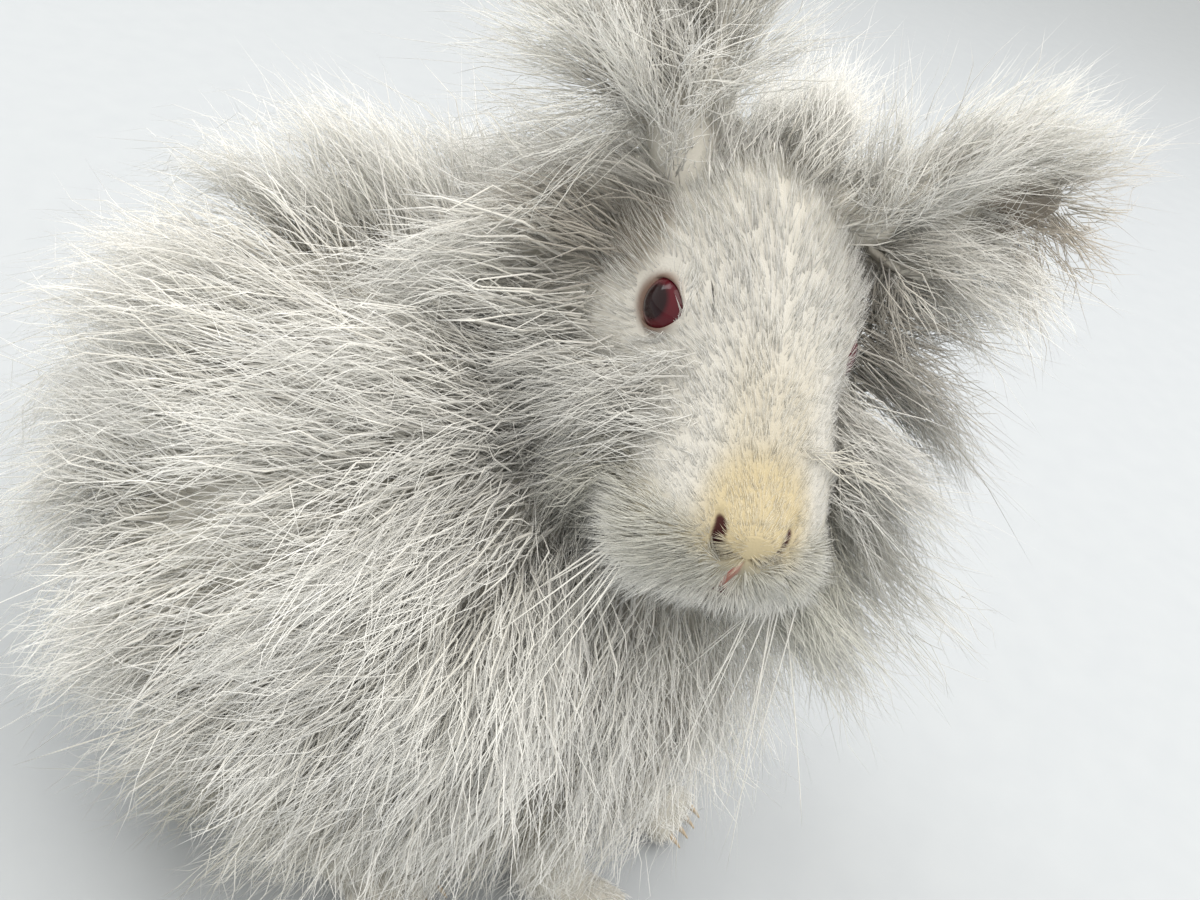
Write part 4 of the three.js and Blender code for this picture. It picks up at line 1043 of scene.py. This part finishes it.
def floor_material():
    """Matt studio board, pale grey, so faintly clouded that it gives only an even softness."""
    material = new_material("matt_studio_board")
    place = add_node(material, "ShaderNodeTexCoord")
    # Clouding about 17 mm across
    cloud = add_node(material, "ShaderNodeTexNoise", {"Scale": 60.0, "Detail": 4.0},
                     {"Vector": place.outputs["Object"]})
    mix = add_node(material, "ShaderNodeMixRGB", {"Color1": linear("#aeb2b6"), "Color2": linear("#b4b8bb")},
                   {"Fac": cloud.outputs["Fac"]})
    shader = add_node(material, "ShaderNodeBsdfPrincipled", {"Roughness": 0.85},
                      {"Base Color": mix.outputs["Color"]})
    return finish_material(material, shader)


# Fields of the coat. For every root, or one for all: lie is the way along the skin, length is in millimetres,
# and lift and end_lift say how far a tuft stands out at its start and at its end. For each kind of tuft, in
# this order: width, turn aside, droop by weight, pull to the leading tuft, wave and depth of the root in
# millimetres, and the fine hairs' length, spread, curl and share of the hair width
TUFT_FIELDS = ("width", "swing", "droop", "pull", "wave", "sink", "hair", "spread", "curl", "fine")
TUFTS = {
    "body": (6.0, 0.2, 0.3, 0.45, 1.6, 1.0, 27.0, 0.32, 1.5, 1.0),
    "neck": (6.5, 0.3, 0.4, 0.5, 1.6, 1.0, 25.0, 0.32, 1.3, 0.95),
    "cheek": (None, 0.28, 0.15, 0.45, 1.2, 0.6, 22.0, 0.32, 1.1, 0.85),
    "ear": (3.6, 0.3, 0.25, 0.4, 0.9, 0.3, 17.0, 0.32, 0.6, 0.85),
}


def tuft_fields(kind, **others):
    """One kind's row of the table with the fields that vary from root to root."""
    return {**dict(zip(TUFT_FIELDS, TUFTS[kind])), **others}


def near_shoulder(points):
    """1 at the shoulder's parting of each side, fading away from it by a bell."""
    return np.exp(-np.sum((both_halves(points) - SHOULDER) ** 2, axis=1) / SHOULDER_RADIUS**2)


def body_fields(p, rabbit):
    """The body's wool runs back and down from the shoulders and straight down at the rump; the chest's hangs.
    Between the shoulders and the rump it stands highest."""
    chest = smooth(-8, -84, p[:, 1])
    rump = smooth(25, 80, p[:, 1])
    low = smooth(60, 20, p[:, 2])
    back = smooth(125, 155, p[:, 2]) * smooth(-25, 10, p[:, 1])
    shoulder = near_shoulder(p)
    lie = blend(np.array([0.0, 0.8, -0.6]), np.array([0.0, 0.15, -1.0]), rump)
    lie = blend(lie, together(0.25 * np.clip(p[:, 0] / 30, -1, 1), 0.1, -1), chest)
    return tuft_fields(
        "body", lie=lie,
        length=rabbit.wool_length * 1000 * (1 - 0.12 * low) * (1 - 0.08 * chest) * (1 + 0.3 * back),
        lift=0.5 - 0.12 * chest + 0.12 * shoulder + 0.2 * back,
        end_lift=0.1 - 0.05 * chest + 0.05 * shoulder)


def neck_fields(p, rabbit):
    """The ruff runs back and a little out to each side."""
    lie = together(0.4 * np.clip((p[:, 0] - 5) / 30, -1, 1), 0.8, 0.0)
    return tuft_fields("neck", lie=lie, length=rabbit.ruff_length * 1000, lift=0.55, end_lift=0.2)


def tail_fields(p, rabbit):
    """The body's wool, but short and standing."""
    standing = {"lie": np.array([0.0, 0.6, 0.3]), "length": 17.0, "hair": 13.0, "lift": 0.75}
    return {**body_fields(p, rabbit), **standing}


def from_eye(h):
    """How far each point of the folded head is from the eye's front, and the way there."""
    way = both_halves(h) - (np.array(EYE_CENTRE) + unit(np.array(EYE_WAY)) * EYE_RADIUS)
    return np.linalg.norm(way, axis=1), way


def face_fields(p, rabbit):
    """Velvet on the nose, short and flat up the bridge and forehead, longer on the whisker pads, a fringe over
    the lips. It is combed back from the nose and away from the eye. The far brow stands out and veils the
    left eye."""
    h = body_to_head(p)
    side = side_of(h)
    x, y, z = both_halves(h).T
    away, outwards = from_eye(h)
    near_eye = np.exp(-(away / 9.5) ** 2)
    brow = near_eye * (side > 0) * smooth(1, -3, outwards[:, 0])
    pads = smooth(5, -2, z) * smooth(36, 22, y)
    lips = smooth(-7, -11, z) * smooth(22, 13, y)
    nose = smooth(12, 7, y) * smooth(-5, -2, z)
    length = 4.2 + 8.5 * smooth(14, 58, y) + (3.4 + 5 * smooth(9, 15, x)) * pads + 2.5 * lips
    length = length * (1 - 0.45 * near_eye) * (1 - 0.3 * nose) + 4.5 * brow
    cheek = np.maximum(pads, smooth(16, 24, x) * smooth(26, 12, z))
    lie = blend(together(0.14 * side, 1, 0.12), together(0.75 * side, 0.75, -0.5), 0.85 * cheek)
    lie = blend(lie, together(0.3 * side, 0.5, -1), lips)
    lie = blend(lie, unit(outwards) * together(side, 1, 1), 0.75 * near_eye)
    return {
        "lie": lie @ HEAD_AXES.T, "length": length,
        "lift": 0.28 + 0.12 * pads + 0.4 * brow, "end_lift": 0.1 + 0.1 * pads + 0.3 * brow,
        "width": rabbit.hair_width * 720, "swing": 0.2, "droop": 0.0, "pull": 0.12, "wave": 0.15, "sink": 0.3,
    }


def cheek_fields(p, rabbit):
    """The long wool of the head. On the side that the head turns away from it falls forward and out, on the
    other back and down over the shoulder; on the crown it is shorter and lies back between the ears."""
    h = body_to_head(p)
    side = side_of(h)
    x, y, z = both_halves(h).T
    left = side > 0
    crown = smooth(38, 50, z - 0.12 * x)
    grown = smooth(6, 48, y)
    low = smooth(20, -15, z)
    length = np.where(left, rabbit.mane_length, rabbit.cheek_length) * 1000
    forward = together(0.9, -0.25 + 0.5 * smooth(45, 75, y), -0.35 - 0.35 * low)
    lie = np.where(left[:, None], forward, together(-0.55, 0.75, -0.5 - 0.3 * low))
    lie = blend(lie, together(0.35 * side, 1, 0.1), crown)
    return tuft_fields(
        "cheek", lie=lie @ HEAD_AXES.T, length=length * (0.24 + 0.76 * grown) * (1 - 0.55 * crown),
        lift=np.where(left, 0.62, 0.4) * (1 - 0.3 * crown) * (0.55 + 0.45 * grown),
        end_lift=np.where(left, 0.5, 0.16) * (1 - 0.5 * crown),
        width=2.2 + 2.8 * grown * (1 - 0.5 * crown))


def bare_weight(h):
    """No fur on the nostrils, the line under the nose, or within the eye's opening."""
    return smooth(0.4, 0.0, np.maximum.reduce(crease_marks(h))) * smooth(5.4, 6.8, from_eye(h)[0])


def ear_fields(roots, side, rabbit):
    """Long on the back and along both edges, fanning out past the tip; short and thin inside the cup. kept is
    the chance that a root there grows a tuft."""
    u0, v0, wide, tall = ISLANDS["ear_left" if side > 0 else "ear_right"]
    around, t = (roots["uv"][:, 0] - u0) / wide, np.clip((roots["uv"][:, 1] - v0) / tall, 0, 1)
    way, _, _, across = ear_axes(side)
    outer = around < 0.5
    share = np.where(outer, around * 2, (1 - around) * 2)
    to_edge = np.abs(2 * share - 1)
    rim = smooth(0.45, 1.0, to_edge)
    lie = way * 0.8 + np.sign(share - 0.5)[:, None] * across * (0.85 * rim)[:, None]
    fringe = rabbit.ear_fringe * 1000 * (1.0 if side > 0 else 1.3)
    fringe = fringe * np.maximum(0.5 + 0.5 * rim, smooth(0.6, 1, t))
    return tuft_fields(
        "ear", lie=lie @ HEAD_AXES.T, length=np.where(outer, fringe, 6 + 12 * rim),
        lift=0.3 + 0.25 * rim, end_lift=0.22 + 0.1 * rim,
        kept=np.where(outer, 0.26, 0.1) + 0.6 * smooth(0.84, 0.97, to_edge))


def limb_fields(length, rabbit):
    """Short fur of a leg or foot, lying forward and down."""
    return {
        "lie": np.array([0.0, -0.7, -0.5]), "length": length, "lift": 0.3, "end_lift": 0.12,
        "width": rabbit.hair_width * 1300, "swing": 0.25, "droop": 0.1, "pull": 0.4, "wave": 0.2, "sink": 0.3,
    }


def body_weight(p, n):
    """More wool on the back and where the wool of chest and flank parts, none on the belly's lowest part."""
    parting = np.exp(-((p[:, 1] + 46) / 24) ** 2) + 2.0 * near_shoulder(p)
    return smooth(14, 30, p[:, 2]) * (1 + 0.7 * parting + 0.5 * smooth(125, 155, p[:, 2]))


def face_weight(p, n):
    """Short fur, closest on the nose and thinning out to the nape."""
    h = body_to_head(p)
    y = h[:, 1]
    return bare_weight(h) * (1 + 1.8 * smooth(45, 10, y) + 3 * smooth(9, 4, y)) * smooth(78, 60, y)


def cheek_weight(p, n):
    """Wool on the crown and cheeks, clear of the eye by more on the right side than on the left."""
    h = body_to_head(p)
    x, y, z = both_halves(h).T
    away, _ = from_eye(h)
    crown = smooth(36, 48, z) * smooth(52, 70, y)
    cheek = smooth(9, 26, y) * smooth(34, 20, z - 0.3 * (y - 40)) * smooth(-6, 3, x - 8)
    return np.maximum(crown, cheek) * np.where(h[:, 0] > 0, 1.5 * smooth(8, 12, away), smooth(12, 18, away))


def sole_weight(p, n):
    """No fur under the feet."""
    return smooth(-0.9, -0.5, n[:, 2])


# Settings, operators, panel


class RabbitSettings(bpy.types.PropertyGroup):
    """Lengths and the hair width that a maker may change"""
    wool_length: bpy.props.FloatProperty(
        name="Body wool", description="Length of the body's locks", default=0.047, unit="LENGTH")
    ruff_length: bpy.props.FloatProperty(
        name="Ruff", description="Length of the wool round the neck", default=0.044, unit="LENGTH")
    cheek_length: bpy.props.FloatProperty(
        name="Cheek wool", description="Length of the right cheek's wool, which lies back", default=0.038,
        unit="LENGTH")
    mane_length: bpy.props.FloatProperty(
        name="Mane", description="Length of the left cheek's wool, which falls forward", default=0.062,
        unit="LENGTH")
    ear_fringe: bpy.props.FloatProperty(
        name="Ear fringe", description="Length of the hair along the ears' edges", default=0.032, unit="LENGTH")
    hair_width: bpy.props.FloatProperty(
        name="Hair width", description="Width of a single fine hair at its root", default=0.0003, unit="LENGTH")
    whisker_length: bpy.props.FloatProperty(
        name="Whiskers", description="Length of the longest whisker", default=0.095, unit="LENGTH")


class RABBIT_OT_skin(bpy.types.Operator):
    """Joins body, chest, neck, head, lids, ears, legs, toes and tail into one closed skin"""
    bl_idname = "rabbit.skin"
    bl_label = "Skin"

    def execute(self, context):
        skin = build_skin()
        points = mesh_points(skin.data)
        h = body_to_head(points)
        on_face = smooth(75, 55, h[:, 1]) * on_head(h)
        nostril, between, mouth = crease_marks(h)
        # Painted shade: away from the face the skin is darkened to 0.7 of the coat's root tone, so that gaps in
        # the wool read as shadow; on the face it keeps nearly the root tone
        tones = coat_tones(points)[0] * (0.7 + 0.27 * on_face[:, None])
        # The pink between the lips and the brown round the eye are the skin's own; the near-black of the
        # nostrils and the dark of the mouth are painted shade in these recesses over their darker lining
        for colour, share in (
            ("#c48f84", between), ("#4a2622", mouth), ("#37110d", nostril),
            ("#6e5a4e", smooth(8.0, 5.5, from_eye(h)[0])),
        ):
            tones = blend(tones, tone(colour), share)
        paint(skin.data, tones)
        dress(skin, skin_material())
        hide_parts("head", "neck", "torso", "tail", "ear_left", "ear_right",
                    "front_leg_left", "front_leg_right", "hind_leg_left", "hind_leg_right")
        return {"FINISHED"}


class RABBIT_OT_eyes(bpy.types.Operator):
    """Each eye: a ball with a clear bulge in front, ruby round a darker pupil"""
    bl_idname = "rabbit.eyes"
    bl_label = "Eyes"

    def execute(self, context):
        material = eye_material()
        for word, side in SIDES:
            way, across, above = eye_axes(side)
            ball, corners, uvs = closed_grid(*ellipsoid(((0, 0, 0), (1, 1, 1)), 46, 64), (0, 0, 1, 1))
            height = ball[:, 2]
            ball = ball * (EYE_RADIUS + EYE_BULGE * smooth(0.62, 1.0, height))[:, None]
            points = np.array(EYE_CENTRE) * [side, 1, 1] + ball @ np.stack([across, above, way])
            tones = blend(tone("#4d0f19"), tone("#1a0407"), smooth(0.86, 0.93, height))
            tones = blend(tones, tone("#8a6a60"), smooth(0.55, 0.35, height))
            eye = make_object(f"eye_{word}_wet", head_to_body(points), corners, uvs, tones)
            dress(eye, material)
            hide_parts(f"eye_{word}")
        return {"FINISHED"}


class RABBIT_OT_claws(bpy.types.Operator):
    """Four claws to a foot, each a curved cone of horn"""
    bl_idname = "rabbit.claws"
    bl_label = "Claws"

    def execute(self, context):
        material = horn_material("pale_claw_horn", "#b7a58c", 0.35)
        t = np.linspace(0, 1, 9)
        for word, side in SIDES:
            for foot, front in (("hind", HIND_FOOT[1]), ("front", FRONT_PAW[1])):
                claws = []
                for tip in toe_paths(front, side)[1]:
                    path = tip + together(0, -(TOE_RADIUS * 0.5 + CLAW_LENGTH * 0.75 * t), -2.4 * t**2)
                    path[:, 2] = np.maximum(path[:, 2], 2 * FLOOR_GAP)
                    claw = tube(path, CLAW_RADIUS * (1 - 0.85 * t) + 0.08, 12)
                    points, (quads, triangles), _ = closed_grid(*claw, (0, 0, 1, 1))
                    claws.append({"points": points, "quads": quads, "triangles": triangles})
                foot_claws = joined(claws)
                faces = [foot_claws["quads"], foot_claws["triangles"]]
                dress(make_object(f"claws_{foot}_{word}", foot_claws["points"], faces), material)
        return {"FINISHED"}


class RABBIT_OT_body_wool(bpy.types.Operator):
    """Long wool of the body and chest, in sectors round the upright"""
    bl_idname = "rabbit.body_wool"
    bl_label = "Body wool"

    def execute(self, context):
        rabbit = context.scene.rabbit
        random = np.random.default_rng(100)
        roots = scatter(BODY_TUFTS, random, ("body", "chest"), body_weight)
        roots = chosen(roots, np.argsort(np.arctan2(roots["point"][:, 0], roots["point"][:, 1])))
        fields = body_fields(roots["point"], rabbit)
        sets = woolly(roots, fields, random, rabbit, BODY_HAIRS, BODY_TUFTS // 18)
        names = [f"body_wool_{number}" for number in range(1, 6)]
        coat_pieces(names, sets, wool_material("angora_wool"), BODY_TUFTS)
        return {"FINISHED"}


class RABBIT_OT_ruff(bpy.types.Operator):
    """Wool of the neck and the tail"""
    bl_idname = "rabbit.ruff"
    bl_label = "Ruff and tail"

    def execute(self, context):
        rabbit = context.scene.rabbit
        material = wool_material("angora_ruff")
        for name, seed, tufts, island, fields_of, leaders in (
            ("ruff", 200, RUFF_TUFTS, "neck", neck_fields, 40),
            ("tail_wool", 201, TAIL_TUFTS, "tail", tail_fields, 14),
        ):
            random = np.random.default_rng(seed)
            roots = scatter(tufts, random, (island,))
            fields = fields_of(roots["point"], rabbit)
            coat_pieces([name], woolly(roots, fields, random, rabbit, RUFF_HAIRS, leaders), material)
        return {"FINISHED"}


class RABBIT_OT_head_fur(bpy.types.Operator):
    """Short fur of the face and the long wool of the cheeks and crown"""
    bl_idname = "rabbit.head_fur"
    bl_label = "Head fur"

    def execute(self, context):
        rabbit = context.scene.rabbit
        material = wool_material("face_fur")
        for number in range(3):
            random = np.random.default_rng(300 + number)
            roots = scatter(FACE_HAIRS // 3, random, ("head", "lid_left", "lid_right"), face_weight)
            fur = short_fur(roots, face_fields(roots["point"], rabbit), random, FACE_LEADERS)
            coat_pieces([f"face_fur_{number + 1}"], fur, material)
        random = np.random.default_rng(320)
        roots = scatter(CHEEK_TUFTS, random, ("head",), cheek_weight)
        roots = chosen(roots, np.argsort(body_to_head(roots["point"])[:, 0]))
        fields = cheek_fields(roots["point"], rabbit)
        sets = woolly(roots, fields, random, rabbit, CHEEK_HAIRS, CHEEK_TUFTS // 16)
        coat_pieces(["cheek_wool_right", "cheek_wool_left"], sets, material, CHEEK_TUFTS)
        return {"FINISHED"}


class RABBIT_OT_ear_fur(bpy.types.Operator):
    """Fur of the ears with its long fringe"""
    bl_idname = "rabbit.ear_fur"
    bl_label = "Ear fur"

    def execute(self, context):
        rabbit = context.scene.rabbit
        material = wool_material("ear_fur")
        for word, side in SIDES:
            random = np.random.default_rng(400 + side)
            roots = scatter(4 * EAR_TUFTS, random, (f"ear_{word}",))
            kept = random.random(4 * EAR_TUFTS) < ear_fields(roots, side, rabbit)["kept"]
            roots = chosen(roots, np.flatnonzero(kept)[:EAR_TUFTS])
            sets = woolly(roots, ear_fields(roots, side, rabbit), random, rabbit, EAR_HAIRS, 40)
            coat_pieces([f"ear_fur_{word}"], sets, material)
        return {"FINISHED"}


class RABBIT_OT_paw_fur(bpy.types.Operator):
    """Short fur of the legs and feet"""
    bl_idname = "rabbit.paw_fur"
    bl_label = "Paw fur"

    def execute(self, context):
        rabbit = context.scene.rabbit
        material = wool_material("paw_fur")
        for number, (name, islands, length, count) in enumerate((
            ("leg_fur_left", ("shank_left", "hind_left", "fore_left", "paw_left"), 8.0, LEG_HAIRS),
            ("leg_fur_right", ("shank_right", "hind_right", "fore_right", "paw_right"), 8.0, LEG_HAIRS),
            ("toe_fur", ("toes",), 4.5, TOE_HAIRS),
        )):
            random = np.random.default_rng(500 + number)
            roots = scatter(count, random, islands, sole_weight)
            fur = short_fur(roots, limb_fields(length, rabbit), random, LIMB_LEADERS)
            coat_pieces([name], fur, material)
        return {"FINISHED"}


class RABBIT_OT_whiskers(bpy.types.Operator):
    """Long tapered whiskers of both pads, in four rows, swept down and back"""
    bl_idname = "rabbit.whiskers"
    bl_label = "Whiskers"

    def execute(self, context):
        material = horn_material("white_whisker", "#f3f1ea", 0.3)
        longest = context.scene.rabbit.whisker_length * 1000
        t = np.linspace(0, 1, 9)[:, None]
        white, up = np.ones((WHISKERS, 3)), np.zeros((WHISKERS, 3)) + HEAD_AXES[:, 2]
        for word, side in SIDES:
            random = np.random.default_rng(600 + side)
            row = random.integers(0, 4, WHISKERS)
            root = together(
                side * random.uniform(15, 20, WHISKERS), random.uniform(8, 18, WHISKERS), -5.0 - 2.6 * row)
            way = unit(together(
                side * random.uniform(-0.15, 0.5, WHISKERS), random.uniform(-0.4, 0.35, WHISKERS),
                random.uniform(-1.0, -0.8, WHISKERS)))
            length = (longest * random.uniform(0.45, 1.0, WHISKERS))[:, None]
            droop = np.array([side * 0.1, 0.3, -0.2]) * length * 0.35
            paths = (root - way * 1.5)[:, None] + (way * length)[:, None] * t + droop[:, None] * t**2
            radii = 0.25 * (1 - 0.75 * t[:-1, 0]) * random.uniform(0.7, 1.2, WHISKERS)[:, None]
            hairs = strands(head_to_body(paths), radii, up, np.full((WHISKERS, 2), 0.5), white, white, 4, 1.0)
            coat_pieces([f"whiskers_{word}"], [hairs], material)
        return {"FINISHED"}


class RABBIT_OT_stage(bpy.types.Operator):
    """Pale floor, soft lights and the camera at the photo's angle"""
    bl_idname = "rabbit.stage"
    bl_label = "Stage"

    def execute(self, context):
        scene = context.scene
        mesh = bpy.data.meshes.new("floor")
        corners = [(x * FLOOR_REACH, y * FLOOR_REACH, 0) for x, y in ((-1, -1), (1, -1), (1, 1), (-1, 1))]
        mesh.from_pydata(corners, [], [(0, 1, 2, 3)])
        floor = bpy.data.objects.new("floor", mesh)
        scene.collection.objects.link(floor)
        mesh.materials.append(floor_material())
        world = bpy.data.worlds.new("studio_air")
        world.use_nodes = True
        world.node_tree.nodes["Background"].inputs["Color"].default_value = linear("#f5f4f0")
        world.node_tree.nodes["Background"].inputs["Strength"].default_value = 1.2
        scene.world = world
        aim = metres(LAMP_AIM)
        for name, place, width, power, colour in LAMPS:
            lamp = bpy.data.lights.new(name, "AREA")
            lamp.size, lamp.energy, lamp.color = width, power, linear(colour)[:3]
            back = unit(np.array(place) - aim)
            right = unit(np.cross([0, 0, 1.0], back))
            put(context, name, lamp, (right, np.cross(back, right), back), place)
        lens = bpy.data.cameras.new("photo_camera")
        lens.lens = lens.sensor_width = 36.0
        axes = [unit(np.array(axis)) for axis in CAMERA_AXES]
        scene.camera = put(context, "photo_camera", lens, axes, metres(CAMERA_PLACE))
        scene.view_settings.view_transform = "Standard"
        return {"FINISHED"}


def put(context, name, data, axes, place):
    """Adds a lamp or camera with its right, up and back axes at a place in metres."""
    thing = bpy.data.objects.new(name, data)
    context.scene.collection.objects.link(thing)
    rows = [[*(float(axis[i]) for axis in axes), float(place[i])] for i in range(3)]
    thing.matrix_world = Matrix(rows + [[0, 0, 0, 1]])
    return thing


BUILD_ORDER = (
    "stage", "skin", "eyes", "claws", "body_wool", "ruff", "head_fur", "ear_fur", "paw_fur", "whiskers",
)


class RABBIT_PT_panel(bpy.types.Panel):
    """Lists the steps that build the rabbit"""
    bl_label = "Angora rabbit"
    bl_idname = "RABBIT_PT_panel"
    bl_space_type = "VIEW_3D"
    bl_region_type = "UI"
    bl_category = "Rabbit"

    def draw(self, context):
        for name in RabbitSettings.__annotations__:
            self.layout.prop(context.scene.rabbit, name)
        for name in BUILD_ORDER:
            self.layout.operator(f"rabbit.{name}")


CLASSES = (
    RabbitSettings, RABBIT_OT_skin, RABBIT_OT_eyes, RABBIT_OT_claws, RABBIT_OT_body_wool, RABBIT_OT_ruff,
    RABBIT_OT_head_fur, RABBIT_OT_ear_fur, RABBIT_OT_paw_fur, RABBIT_OT_whiskers, RABBIT_OT_stage,
    RABBIT_PT_panel,
)


def register():
    """Adds the settings, operators and panel."""
    for kind in CLASSES:
        bpy.utils.register_class(kind)
    bpy.types.Scene.rabbit = bpy.props.PointerProperty(type=RabbitSettings)


def unregister():
    """Takes them away again."""
    del bpy.types.Scene.rabbit
    for kind in reversed(CLASSES):
        bpy.utils.unregister_class(kind)


def main():
    """Builds everything in order."""
    register()
    for name in BUILD_ORDER:
        getattr(bpy.ops.rabbit, name)()


if __name__ == "__main__":
    main()
